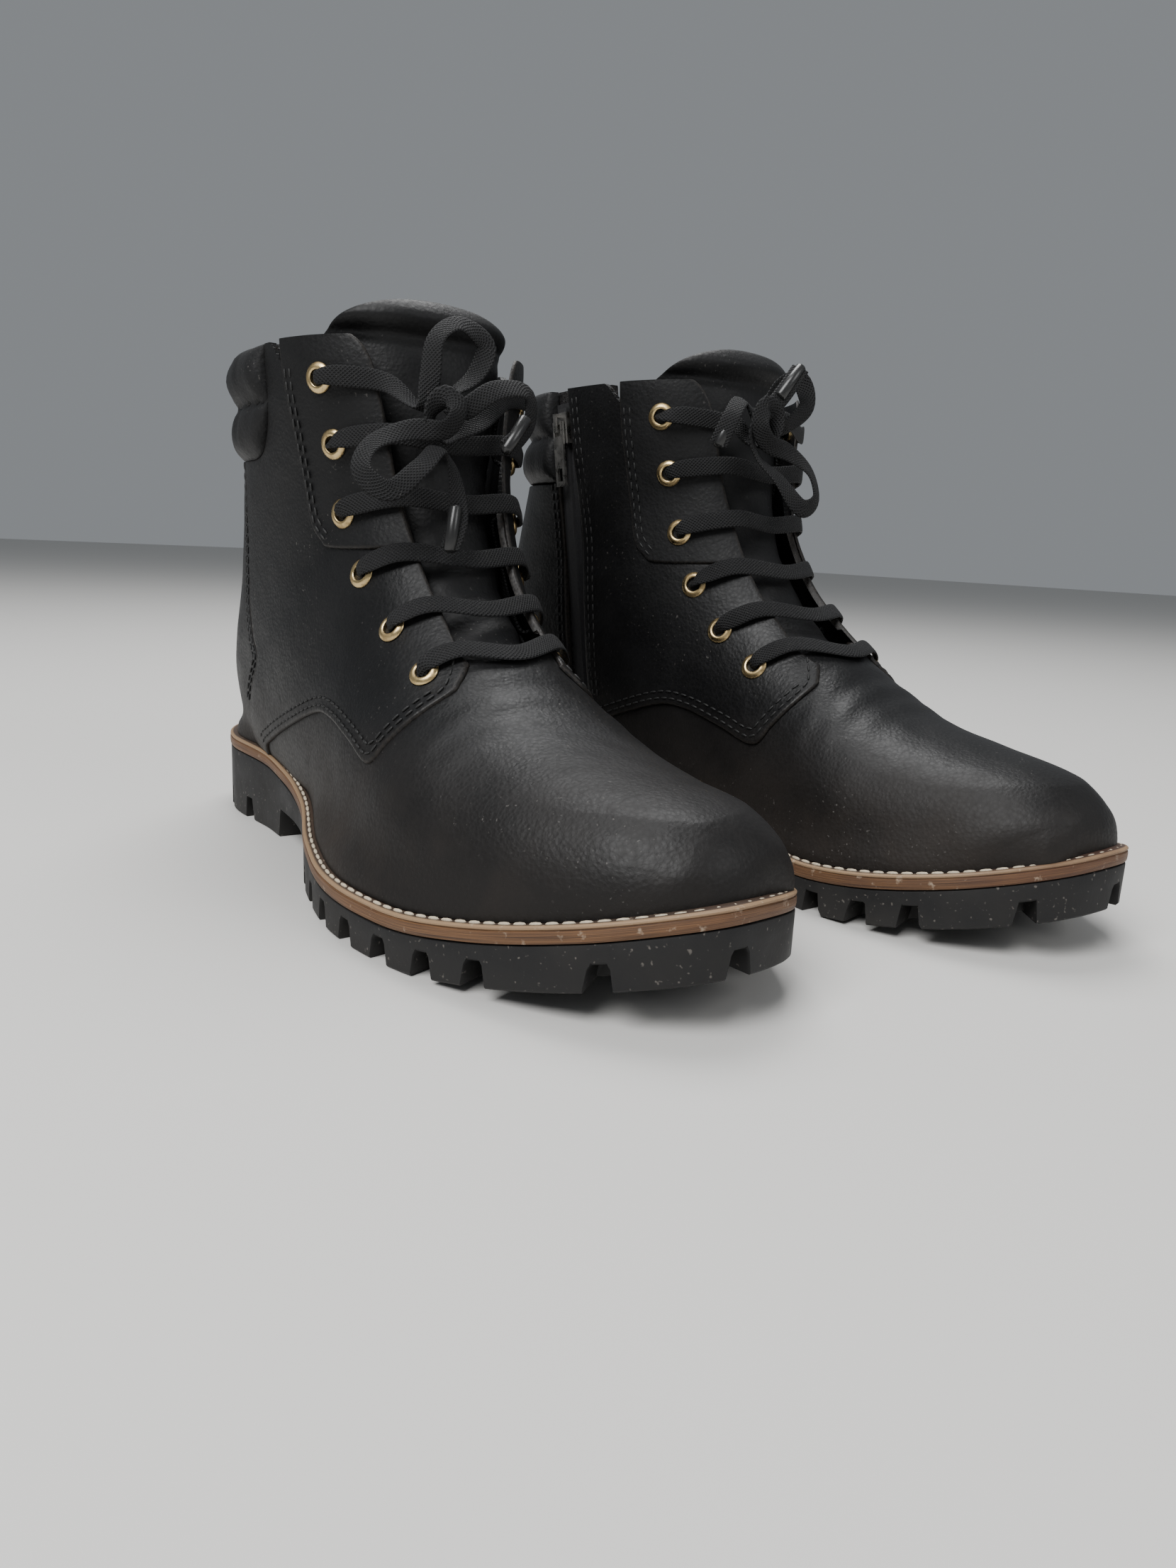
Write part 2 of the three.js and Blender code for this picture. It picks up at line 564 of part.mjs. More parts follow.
function eyelet(side, [x, z], isUpper) {
  const { point, normal } = placeOn(side, x, z);
  const seat = (isUpper ? facingDepth[1] : 0) + 1.5 * clearance;
  const profile = [
    [2.5, -leather - 0.6], [3.1, -leather - 0.6], [3.1, seat],
    [4.9, seat], [2.5, seat + 1.1], [2.5, -leather - 0.6],
  ].map(([r, h]) => new THREE.Vector2(r, h));
  const geometry = new THREE.LatheGeometry(profile, 8);
  const turn = new THREE.Quaternion().setFromUnitVectors(vec(0, 1, 0), normal);
  return geometry.applyMatrix4(new THREE.Matrix4().compose(point, turn, vec(1, 1, 1)));
}

// Between the eyelets the station and the share of the girth are mixed in straight proportion.
function lacePoint([across, level, depth]) {
  const k = Math.min(Math.max(Math.floor(level) - 1, 0), 4);
  const [outer, inner] = [-1, 1].map((side) => {
    const [low, high] = [k, k + 1].map((i) => placeOn(side, ...eyeletPlaces[i]));
    return { t: mix(low.t, high.t, level - 1 - k), u: Math.abs(mix(low.u, high.u, level - 1 - k)) };
  });
  const t = mix(outer.t, inner.t, (Math.min(1, Math.max(-1, across)) + 1) / 2);
  const u = across * (across < 0 ? outer.u : inner.u);
  return { point: upperPoint(t, u).addScaledVector(upperNormal(t, u), depth), out: upperNormal(t, u) };
}

// The lace as a round cord with a ring of its own at every point of the route.
function lace(side) {
  const knot = lacePoint(bowSpot[side]);
  const right = vec(0, 0, 1).cross(knot.out).normalize();
  const rise = knot.out.clone().cross(right);
  const bow = new THREE.Matrix4().makeBasis(right, rise, knot.out).setPosition(knot.point);
  const placed = (rows) => rows.map((row) => vec(...row).applyMatrix4(bow));
  const laced = lacedRows.map((row) => lacePoint(row).point);
  const route = [...placed(firstEnd[side]), ...laced, ...placed(secondEnd[side])];
  const curve = new THREE.CatmullRomCurve3(route, false, "catmullrom", 0.5);
  curve.getUtoTmapping = (u) => u;
  const circle = new THREE.EllipseCurve(0, 0, laceRadius, laceRadius);
  const ring = new THREE.Shape(circle.getPoints(8).slice(0, 8));
  return new THREE.ExtrudeGeometry(ring, { steps: route.length - 1, extrudePath: curve });
}

function zipPieces() {
  const length = vec(...zipTop).distanceTo(vec(...zipBottom));
  const middle = -length / 2;
  const chain = toManifold(box(1.6, 4.4, length), zipFrame(middle));
  const tape = toManifold(box(0.8, 10, length + 4), zipFrame(middle, -1));
  const loop = toManifold(box(2.2, 4, 4.6), zipFrame(-6, 3.7));
  const bridge = toManifold(box(3, 1.6, 7.2), zipFrame(-6, 4.1)).subtract(loop);
  const slider = toManifold(box(3, 8.4, 12), zipFrame(-8, 1.3))
    .subtract(toManifold(box(1.8, 5.2, 14), zipFrame(-8, 0.3)))
    .add(bridge);
  const blade = toManifold(box(1.2, 5.6, 25), zipFrame(-17.9, 3.75));
  const puller = subtractAll(blade, [
    toManifold(box(3, 3.4, 4.4), zipFrame(-8.8, 3.75)),
    toManifold(box(3, 3, 5), zipFrame(-26, 3.75)),
  ]);
  return [
    ["zip_tape", fromManifold(chain.add(tape)), "zip"],
    ["zip_slider", fromManifold(slider), "steel"],
    ["zip_puller", fromManifold(puller), "steel"],
  ];
}

function bootPieces() {
  const eyelets = [-1, 1].flatMap((side) =>
    eyeletPlaces.map((place, i) => [
      `eyelet_${side < 0 ? "lateral" : "medial"}_${i + 1}`, eyelet(side, place, i > 2), "brass",
    ]),
  );
  return [
    ["outsole", outsole(), "rubber"],
    ["welt", welt(), "welt"],
    ["shank", shank(), "steel"],
    ["insole_board", insoleBoard(), "board"],
    ["footbed", footbed(), "foam"],
    ...leatherPanels(),
    ...facings(),
    ["lining", lining(), "fleece"],
    ["collar_pad", collarPad(), "leather"],
    ["tongue", tongue(), "tongue"],
    ...zipPieces(),
    ...eyelets,
  ];
}

// ---- the pair ----
const group = new THREE.Group();
const pieces = bootPieces();
for (const side of ["right", "left"]) {
  const boot = new THREE.Group();
  for (const [name, geometry, paint] of [...pieces, ["lace", lace(side), "cord"]]) {
    const mesh = new THREE.Mesh(geometry, paints[paint]());
    mesh.name = `${side}_${name}`;
    boot.add(mesh);
  }
  if (side === "left") {
    boot.scale.x = -1;
    boot.position.set(leftPlace[0], leftPlace[1], 0);
  }
  boot.rotation.z = THREE.MathUtils.degToRad(side === "left" ? leftTurn : rightTurn);
  group.add(boot);
}

// The origin is the middle of the footprint, on the floor; the laces don't count.
const bounds = new THREE.Box3();
group.updateMatrixWorld(true);
group.traverse((item) => {
  if (item.isMesh && !item.name.endsWith("lace")) bounds.expandByObject(item, true);
});
const middle = bounds.getCenter(vec(0, 0, 0));
for (const boot of group.children) boot.position.sub(vec(middle.x, middle.y, bounds.min.z));

export default group;
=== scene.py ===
import math

import bpy
import numpy as np
from mathutils import Matrix, Vector


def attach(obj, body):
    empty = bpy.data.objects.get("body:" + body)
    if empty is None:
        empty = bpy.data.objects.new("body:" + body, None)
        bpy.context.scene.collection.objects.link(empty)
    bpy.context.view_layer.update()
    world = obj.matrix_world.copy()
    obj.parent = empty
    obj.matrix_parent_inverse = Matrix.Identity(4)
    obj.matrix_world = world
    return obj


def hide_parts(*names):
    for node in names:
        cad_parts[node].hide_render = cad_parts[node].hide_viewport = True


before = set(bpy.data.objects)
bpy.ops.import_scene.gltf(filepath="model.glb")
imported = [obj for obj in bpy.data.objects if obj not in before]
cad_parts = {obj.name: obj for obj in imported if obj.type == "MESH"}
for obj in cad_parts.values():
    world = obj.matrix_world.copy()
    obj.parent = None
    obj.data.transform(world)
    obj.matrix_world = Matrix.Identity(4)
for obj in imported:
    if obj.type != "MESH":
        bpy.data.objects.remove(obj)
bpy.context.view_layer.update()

view = {
    "place": (-0.25120, -0.29943, 0.11492),
    "yaw": 0.681,  # turned to the right of +y, radians
    "pitch": 0.222,  # tipped down
    "roll": 0.05,
    "lens": 24.26,
}


def makeCamera():
    # forward from yaw and pitch, right level, both then rolled about forward
    yaw, pitch, roll = view["yaw"], view["pitch"], view["roll"]
    forward = np.array([math.sin(yaw) * math.cos(pitch), math.cos(yaw) * math.cos(pitch), -math.sin(pitch)])
    level = np.array([math.cos(yaw), -math.sin(yaw), 0.0])
    rise = np.cross(level, forward)
    right = math.cos(roll) * level + math.sin(roll) * rise
    top = math.cos(roll) * rise - math.sin(roll) * level
    data = bpy.data.cameras.new("camera")
    data.sensor_width = 36
    data.lens = view["lens"]
    data.clip_start = 0.01
    camera = bpy.data.objects.new("camera", data)
    columns = np.stack([right, top, -forward], 1)
    camera.matrix_world = Matrix.Translation(Vector(view["place"])) @ Matrix(columns.tolist()).to_4x4()
    bpy.context.scene.collection.objects.link(camera)
    bpy.context.scene.camera = camera


makeCamera()
print("camera done")


class Shade:
    # a socket of a material's tree, so that sums and products are written as such
    def __init__(self, tree, socket):
        self.tree, self.socket = tree, socket

    def make(self, kind, inputs, output=0, **settings):
        # any other node: its settings first, then its sockets' values or links
        node = self.tree.nodes.new(kind)
        for key, value in settings.items():
            setattr(node, key, value)
        for key, value in inputs.items():
            if isinstance(value, Shade):
                self.tree.links.new(value.socket, node.inputs[key])
            else:
                node.inputs[key].default_value = value
        return Shade(self.tree, node.outputs[output])

    def maths(self, operation, *values, clamp=False):
        return self.make("ShaderNodeMath", dict(enumerate(values)), operation=operation, use_clamp=clamp)

    def __add__(self, other):
        return self.maths("ADD", self, other)

    def __radd__(self, other):
        return self.maths("ADD", other, self)

    def __sub__(self, other):
        return self.maths("SUBTRACT", self, other)

    def __rsub__(self, other):
        return self.maths("SUBTRACT", other, self)

    def __mul__(self, other):
        return self.maths("MULTIPLY", self, other)

    def __rmul__(self, other):
        return self.maths("MULTIPLY", other, self)

    def __truediv__(self, other):
        return self.maths("DIVIDE", self, other)

    def ramp(self, low, high):
        # 0 at low and 1 at high, straight between, and level outside
        inputs = {"Value": self, "From Min": low, "From Max": high, "To Min": 0.0, "To Max": 1.0}
        return self.make("ShaderNodeMapRange", inputs, clamp=True)

    def noise(self, scale, detail=2.0, roughness=0.5):
        inputs = {"Vector": self, "Scale": scale, "Detail": detail, "Roughness": roughness}
        return self.make("ShaderNodeTexNoise", inputs)

    def cells(self, scale, feature="F1"):
        inputs = {"Vector": self, "Scale": scale}
        return self.make("ShaderNodeTexVoronoi", inputs, feature=feature)

    def stretched(self, x, y, z):
        return self.make("ShaderNodeVectorMath", {0: self, 1: (x, y, z)}, operation="MULTIPLY")

    def colour(self, low, high):
        # low where this is 0 and high where it is 1; either may be a colour already made
        low, high = (value if isinstance(value, Shade) else (*value, 1) for value in (low, high))
        inputs = {0: self, 6: low, 7: high}
        return self.make("ShaderNodeMix", inputs, output=2, data_type="RGBA", clamp_factor=True)

    def relief(self, distance, strength=1.0, under=None):
        inputs = {"Height": self, "Distance": distance, "Strength": strength}
        if under is not None:
            inputs["Normal"] = under
        return self.make("ShaderNodeBump", inputs)


def newFinish(name, base, roughness, metallic=0.0, **fixed):
    # a principled shader with its plain values set, and the pieces a texture starts from
    material = bpy.data.materials.new(name)
    material.use_nodes = True
    tree = material.node_tree
    shader = tree.nodes["Principled BSDF"]
    shader.inputs["Base Color"].default_value = (*base, 1)
    shader.inputs["Roughness"].default_value = roughness
    shader.inputs["Metallic"].default_value = metallic
    for key, value in fixed.items():
        shader.inputs[key.replace("_", " ")].default_value = value
    coordinates = tree.nodes.new("ShaderNodeTexCoord")
    place = Shade(tree, coordinates.outputs["Object"])

    def feed(**links):
        for key, value in links.items():
            tree.links.new(value.socket, shader.inputs[key.replace("_", " ")])

    def read(key):
        return place.make("ShaderNodeAttribute", {}, output=2, attribute_name=key)

    def part(axis):
        return place.make("ShaderNodeSeparateXYZ", {0: place}, output=axis)

    return material, place, part, read, feed


def leather(name, base=(0.0042, 0.0042, 0.0045), roughness=0.4, grain=0.00014, bloom=0.35, dust=0.5, edge=False):
    # fine pebbled grain, a faint grey bloom in patches, and pale specks of dust
    material, place, part, read, feed = newFinish(name, base, roughness, Specular_IOR_Level=0.27)
    height = part(2)
    patches = place.noise(22.0, 4.0, 0.6).ramp(0.42, 0.72)
    streaks = place.stretched(60, 60, 190).noise(1.0, 3.0, 0.6).ramp(0.55, 0.8)
    pebbles = place.cells(760.0)
    fine = place.noise(1500.0, 2.0)
    specks = place.noise(900.0, 1.0).ramp(0.7, 0.78) * place.noise(30.0, 2.0).ramp(0.45, 0.7)
    low = height.ramp(0.062, 0.026)
    grey = patches * (0.55 * bloom) + streaks * (0.25 * bloom)
    colour = grey.colour(base, (0.016, 0.016, 0.017))
    colour = (low * (0.25 + 0.5 * patches)).colour(colour, (0.024, 0.018, 0.014))
    colour = (specks * dust).colour(colour, (0.16, 0.15, 0.14))
    if edge:
        cut = read("edge")
        fuzz = cut.ramp(1.15, 0.15) * place.noise(900.0, 2.0).ramp(0.3, 0.6)
        colour = (fuzz * 0.45).colour(colour, (0.035, 0.028, 0.022))
    feed(Base_Color=colour, Roughness=roughness - 0.03 + patches * 0.14 + pebbles * 0.12 + low * 0.12)
    broad = place.noise(120.0, 3.0).relief(0.0007, 0.35)
    feed(Normal=(pebbles * 0.7 + fine * 0.5).relief(grain, 0.8, broad))
    return material


def rubber(name):
    material, place, part, read, feed = newFinish(name, (0.014, 0.014, 0.015), 0.62, Specular_IOR_Level=0.35)
    dusty = place.noise(40.0, 5.0, 0.65).ramp(0.42, 0.75)
    low = part(2).ramp(0.012, 0.0)
    colour = (dusty * 0.35 + low * 0.3).colour((0.006, 0.006, 0.0065), (0.034, 0.031, 0.028))
    specks = place.noise(700.0, 1.0).ramp(0.68, 0.76)
    colour = (specks * 0.45).colour(colour, (0.2, 0.18, 0.16))
    feed(Base_Color=colour, Roughness=0.56 + dusty * 0.22)
    feed(Normal=place.noise(900.0, 3.0).relief(0.0001, 0.5, place.noise(60.0, 3.0).relief(0.0006, 0.3)))
    return material


def weltFinish(name):
    # brown pressed board with long wavering fibres round the edge, pale along its upper line
    material, place, part, read, feed = newFinish(name, (0.3, 0.17, 0.08), 0.52, Specular_IOR_Level=0.45)
    along, level = read("along"), read("level")
    joined = place.make("ShaderNodeCombineXYZ", {0: along * 0.012, 1: level * 1.6, 2: 0.0})
    fibres = joined.noise(2.2, 5.0, 0.62)
    blotch = place.noise(26.0, 4.0, 0.6)
    colour = fibres.ramp(0.36, 0.66).colour((0.045, 0.02, 0.009), (0.2, 0.098, 0.04))
    colour = (blotch.ramp(0.52, 0.75) * 0.6).colour(colour, (0.07, 0.033, 0.018))
    colour = (level.ramp(3.7, 4.05) * 0.8).colour(colour, (0.3, 0.2, 0.115))
    colour = level.ramp(4.86, 4.9).colour(colour, (0.05, 0.032, 0.022))
    toe = part(1).ramp(-0.13, -0.158)
    colour = (toe * blotch.ramp(0.4, 0.6) * 0.7).colour(colour, (0.06, 0.018, 0.012))
    scuffs = place.noise(240.0, 3.0, 0.7).ramp(0.62, 0.74)
    colour = (scuffs * 0.5).colour(colour, (0.5, 0.4, 0.3))
    feed(Base_Color=colour, Roughness=0.42 + blotch * 0.28)
    feed(Normal=(fibres + scuffs * 0.5).relief(0.0003, 0.6))
    return material


def woven(name, base, pale, scale, roughness=0.72, shine=0.3):
    # a flat braid: two slanting sets of strands that pass over each other, and stray lint
    material, place, part, read, feed = newFinish(name, base, roughness, Specular_IOR_Level=shine)
    along, across = read("along"), read("across")
    first = (along * scale + across * scale * 1.1).maths("SINE", along * scale + across * scale * 1.1)
    second = (along * scale - across * scale * 1.1).maths("SINE", along * scale - across * scale * 1.1)
    weave = first.maths("MAXIMUM", first, second)
    lint = place.noise(1100.0, 2.0).ramp(0.66, 0.76)
    worn = place.noise(45.0, 3.0).ramp(0.4, 0.75)
    colour = (weave.ramp(-0.2, 1.0) * 0.6 + worn * 0.3).colour(base, pale)
    colour = (lint * 0.2).colour(colour, (0.12, 0.11, 0.1))
    feed(Base_Color=colour)
    feed(Normal=weave.relief(0.0003, 0.7))
    return material


def fleece(name):
    material, place, part, read, feed = newFinish(name, (0.016, 0.015, 0.016), 0.95, Specular_IOR_Level=0.15)
    tufts = place.noise(420.0, 4.0, 0.7)
    colour = tufts.ramp(0.35, 0.7).colour((0.006, 0.006, 0.0065), (0.05, 0.047, 0.047))
    feed(Base_Color=colour, Normal=tufts.relief(0.002, 1.0))
    return material


def metal(name, base, dark, roughness=0.34):
    material, place, part, read, feed = newFinish(name, base, roughness, 1.0)
    tarnish = place.noise(260.0, 4.0, 0.6).ramp(0.42, 0.7)
    spots = place.noise(900.0, 2.0).ramp(0.62, 0.72)
    colour = (tarnish * 0.55 + spots * 0.3).colour(base, dark)
    feed(Base_Color=colour, Roughness=roughness - 0.08 + tarnish * 0.3)
    feed(Normal=place.noise(700.0, 2.0).relief(0.00005, 0.4))
    return material


def plain(name, base, roughness, scale=500.0, depth=0.00015, pale=1.6):
    material, place, part, read, feed = newFinish(name, base, roughness)
    grain = place.noise(scale, 3.0, 0.6)
    colour = grain.ramp(0.3, 0.7).colour(base, tuple(min(1, pale * c) for c in base))
    feed(Base_Color=colour, Normal=grain.relief(depth, 0.7))
    return material


finishes = {
    "leather": (leather("black smooth leather", edge=True), "black_leather"),
    "tongueLeather": (leather("black tongue leather", roughness=0.5, bloom=0.7), "tongue_leather"),
    "collar": (leather("black collar leather", roughness=0.5, grain=0.0002, bloom=0.7), "collar_leather"),
    "facing": (leather("black facing leather", roughness=0.48, edge=True), "black_leather"),
    "rubber": (rubber("black rubber"), "rubber_sole"),
    "welt": (weltFinish("brown welt board"), "tan_welt"),
    "lace": (woven("black braided lace", (0.003, 0.003, 0.0032), (0.014, 0.014, 0.015), 4.6), "black_lace"),
    "fleece": (fleece("black fleece"), "fleece_lining"),
    "eyelet": (metal("tarnished brass", (0.62, 0.47, 0.24), (0.16, 0.1, 0.05)), "brass_eyelet"),
    "steel": (metal("nickel", (0.5, 0.49, 0.47), (0.12, 0.11, 0.1)), "zip_metal"),
    "zip": (plain("black zip tape", (0.012, 0.012, 0.013), 0.75, 900.0), "zip_black"),
    "board": (plain("insole board", (0.3, 0.2, 0.12), 0.85), "leather_board"),
    "foam": (plain("footbed foam", (0.02, 0.02, 0.021), 0.9, 700.0, 0.0004), "footbed_foam"),
    "shank": (metal("shank steel", (0.4, 0.4, 0.41), (0.15, 0.13, 0.12), 0.45), "shank_steel"),
    "thread": (plain("black thread", (0.006, 0.006, 0.006), 0.6, 1600.0), "black_thread"),
    "weltThread": (plain("off-white thread", (0.42, 0.36, 0.27), 0.7, 1600.0, pale=1.4), "white_thread"),
    "tip": (plain("black lace tip", (0.012, 0.012, 0.012), 0.3, 300.0, 0.00002), "lace_tip"),
}
print("finishes done")


# the boot's shape, in millimetres in one boot's own frame: x towards the inner side, toes towards -y
last = {
    "place": {"right": (-62.183, 9.767, -3.5, 1), "left": (63.317, -13.633, 2, -1)},  # x, y, turn, mirror
    "rubber": 10.7,
    "heelRise": 15.4,
    "toeSpring": 15.4,
    "welt": 4.9,
    "gap": 0.3,
    "outline": [
        (0, 152.5), (27, 143), (38, 118), (39, 85), (35, 40), (36.5, 0), (44, -40), (50, -72), (48, -100),
        (39.5, -124), (25.5, -141), (8, -148), (-9, -146.5), (-26.5, -132), (-41.5, -108), (-54.5, -75),
        (-59.5, -40), (-54, -5), (-42, 35), (-38.5, 75), (-40.5, 115), (-28, 144),
    ],
    # front y, z; back y, z; half width; centre; ridge; widest; roundness in front and behind
    "stations": np.array([
        (-143.5, 34.5, -143.5, 34.5, 0, 7, 0, 0.55, 2.2, 2.3),
        (-141, 44, -141, 22, 17, 6.5, 0, 0.55, 2.2, 2.3),
        (-134, 50, -134, 14, 24.5, 5.5, 0, 0.56, 2.2, 2.3),
        (-122, 54, -122, 10, 32, 3.5, 0, 0.58, 2.2, 2.4),
        (-100, 57, -100, 6, 40, 0.5, 0, 0.6, 2.2, 2.5),
        (-76, 62, -75, 4, 45, -2, 2, 0.62, 2.15, 2.5),
        (-57, 71, -48, 4, 45, -5.5, 5, 0.62, 2.1, 2.5),
        (-42, 81, -12, 6, 41, -6.5, 6, 0.62, 2.1, 2.5),
        (-28, 92, 30, 10, 38.5, -5.5, 5, 0.6, 2.2, 2.5),
        (-16, 104, 75, 14, 38.5, -3, 3, 0.62, 2.3, 2.7),
        (-7, 117, 115, 22, 39.5, -1.5, 2, 0.62, 2.4, 2.8),
        (-2, 130, 143.5, 44, 39.5, 0, 1, 0.6, 2.4, 2.7),
        (1, 143, 143, 80, 39, 0, 0, 0.54, 2.4, 2.4),
        (4, 156, 132, 116, 41, 0, 0, 0.5, 2.4, 2.3),
        (6, 167, 122, 146, 43.5, 0, 0, 0.5, 2.4, 2.25),
        (8, 176, 121, 174, 45, 0, 0, 0.5, 2.4, 2.2),
        (11, 187, 121, 186, 45, 0, 0, 0.5, 2.4, 2.2),
        (16, 198, 121, 198, 45, 0, 0, 0.5, 2.4, 2.2),
    ], float),
    "quarterSeam": [
        (-33, 87), (-38, 81.5), (-41, 78), (-44.6, 73.5), (-45.8, 69), (-38, 56), (-31, 48), (-13, 52),
        (5, 56), (19, 55.5), (45, 46.5), (66, 38), (76, 33), (79, 22),
    ],
    "heelSeam": [(86, 146), (90, 118), (91, 92), (87, 76), (80, 66), (88, 52), (97, 22)],
    "padBorder": [(50, 190), (53, 172), (54, 158), (59, 147), (68, 140), (90, 139), (150, 139)],
    "facingBorder": [(41, 190), (40, 150), (37, 121), (31, 112), (22, 109.5), (-20, 111)],
    "openingEdge": [
        (0, 76.5), (13, 76.5), (16.6, 79.5), (16, 95), (17, 118), (20, 145), (22, 158), (24.5, 169),
        (29, 176), (38, 180), (60, 183),
    ],
    "eyelets": [(27, 74.5), (27.5, 86), (28.5, 102), (29, 121), (31.5, 143), (35.5, 163)],  # x, z
    "zipTop": (43.2, 74.5, 168),
    "zipBottom": (36.3, 61.5, 47),
    "collar": 15,  # station of the leather's upper edge
}
stations = last["stations"]


def unit(v):
    return v / np.maximum(np.linalg.norm(v, axis=-1, keepdims=True), 1e-9)


def smooth(s):
    s = np.clip(s, 0, 1)
    return s * s * (3 - 2 * s)


def bump(s, width):
    return np.exp(-((s / width) ** 2))


def placed(points, side):
    # the left boot is mirrored in x; each boot is turned about the vertical, moved and brought to metres
    x, y, turn, mirror = last["place"][side]
    c, s = math.cos(math.radians(turn)), math.sin(math.radians(turn))
    px, py, pz = points[..., 0] * mirror, points[..., 1], points[..., 2]
    return np.stack([c * px - s * py + x, s * px + c * py + y, pz], -1) / 1000


def toeCurl(y, start):
    return np.maximum(0, (start - y) / (start + 150)) ** 1.6


def treadHeight(y):
    return last["toeSpring"] * toeCurl(y, -70)


def rubberTop(y):
    return last["rubber"] + 18.1 * toeCurl(y, -65) + last["heelRise"] * smooth((y + 35) / 140)


def weltTop(y):
    return rubberTop(y) + last["gap"] + last["welt"]


def footing(y):
    return weltTop(y) + last["gap"]


def stationAt(t):
    # cubic between two rows of the table, whose slope at a row is half the step between its neighbours
    n = len(stations)
    slopes = np.zeros_like(stations)
    slopes[1:-1] = (stations[2:] - stations[:-2]) / 2
    slopes[-1] = stations[-1] - stations[-2]
    for column in (1, 3, 4):
        slopes[0, column] = stations[1, column] - stations[0, column]
    k = np.clip(np.floor(t), 0, n - 2).astype(int)
    s = (t - k)[..., None]
    return (
        (2 * s**3 - 3 * s**2 + 1) * stations[k]
        + (s**3 - 2 * s**2 + s) * slopes[k]
        + (3 * s**2 - 2 * s**3) * stations[k + 1]
        + (s**3 - s**2) * slopes[k + 1]
    )


def sectionTable(rows=511, columns=161):
    # each slanted section is a superellipse from the ridge to the back, ended on the welt and
    # measured again in equal steps of arc
    ts = np.linspace(0, len(stations) - 1, rows)
    tables, closed = {}, np.ones(rows, bool)
    a = np.linspace(0, math.pi, 241)[None, :]
    q = [v[:, None] for v in stationAt(ts).T]
    frontY, frontZ, backY, backZ, half, centre, ridge, widest, over, under = q
    front = a < math.pi / 2
    power = np.where(front, 2 / over, 2 / under)
    s = np.clip(np.sin(a), 0, 1) ** power
    c = np.abs(np.cos(a)) ** power
    b = np.where(front, widest * (1 - c), widest + (1 - widest) * c)
    for side in (-1, 1):
        x = centre + ridge * (1 - b) ** 2 + side * half * s
        line = np.stack([x, frontY + (backY - frontY) * b, frontZ + (backZ - frontZ) * b], -1)
        table = np.zeros((rows, columns, 3))
        for i in range(rows):
            p = line[i]
            high = p[:, 2] - footing(p[:, 1])
            under0 = np.nonzero(high < 0)[0]
            if len(under0) and under0[0] > 0:
                k = under0[0]
                w = high[k - 1] / (high[k - 1] - high[k])
                p = np.vstack([p[:k], p[k - 1] + (p[k] - p[k - 1]) * w])
                closed[i] = False
            d = np.r_[0, np.cumsum(np.linalg.norm(np.diff(p, axis=0), axis=1))]
            even = np.linspace(0, d[-1], columns)
            table[i] = np.stack([np.interp(even, d, p[:, m]) for m in range(3)], -1)
        tables[side] = table
    heel = ts[np.nonzero(closed & (ts > 5))[0][0]]
    return tables, heel


tables, heelStation = sectionTable()


def upper(t, u):
    # bilinear reading of the table; past u = 1 or -1 a closed section goes on round the back
    t, u = np.broadcast_arrays(np.asarray(t, float), np.asarray(u, float))
    wraps = (np.abs(u) > 1) & (t >= heelStation)
    f = np.where(wraps, 2 - np.abs(u), np.minimum(np.abs(u), 1))
    inner = (u < 0) == wraps
    rows, columns = tables[1].shape[:2]
    a = np.clip(t / (len(stations) - 1), 0, 1) * (rows - 1)
    b = f * (columns - 1)
    i = np.minimum(a.astype(int), rows - 2)
    j = np.minimum(b.astype(int), columns - 2)
    a, b = (a - i)[..., None], (b - j)[..., None]
    both = np.stack([tables[-1], tables[1]])
    m = inner.astype(int)
    low = both[m, i, j] * (1 - b) + both[m, i, j + 1] * b
    high = both[m, i + 1, j] * (1 - b) + both[m, i + 1, j + 1] * b
    return low * (1 - a) + high * a


def upperNormal(t, u):
    h = 0.05
    across = upper(t, u + h) - upper(t, u - h)
    along = upper(np.minimum(t + h, 17), u) - upper(np.maximum(t - h, 0), u)
    n = unit(np.cross(across, along))
    return np.where((np.asarray(t) < 0.02)[..., None], (0.0, -1.0, 0.0), n)


def offset(t, u, depth):
    p = upper(t, u) + upperNormal(t, u) * np.asarray(depth, float)[..., None]
    p[..., 2] = np.maximum(p[..., 2], footing(p[..., 1]))
    return p


def bisect(low, high, isBelow):
    for _ in range(26):
        middle = (low + high) / 2
        low, high = (middle, high) if isBelow(middle) else (low, middle)
    return (low + high) / 2


def placeOn(side, x, z):
    # the station and share of the girth where the upper is x from the middle plane and z high
    def station(u):
        return bisect(5, 16, lambda t: upper(t, u)[..., 2] < z)

    v = bisect(0, 0.6, lambda w: side * upper(station(side * w), side * w)[..., 0] < x)
    return float(station(side * v)), side * float(v)


eyeletSpots = {side: [placeOn(side, x, z) for x, z in last["eyelets"]] for side in (-1, 1)}


# making pieces
made = {}


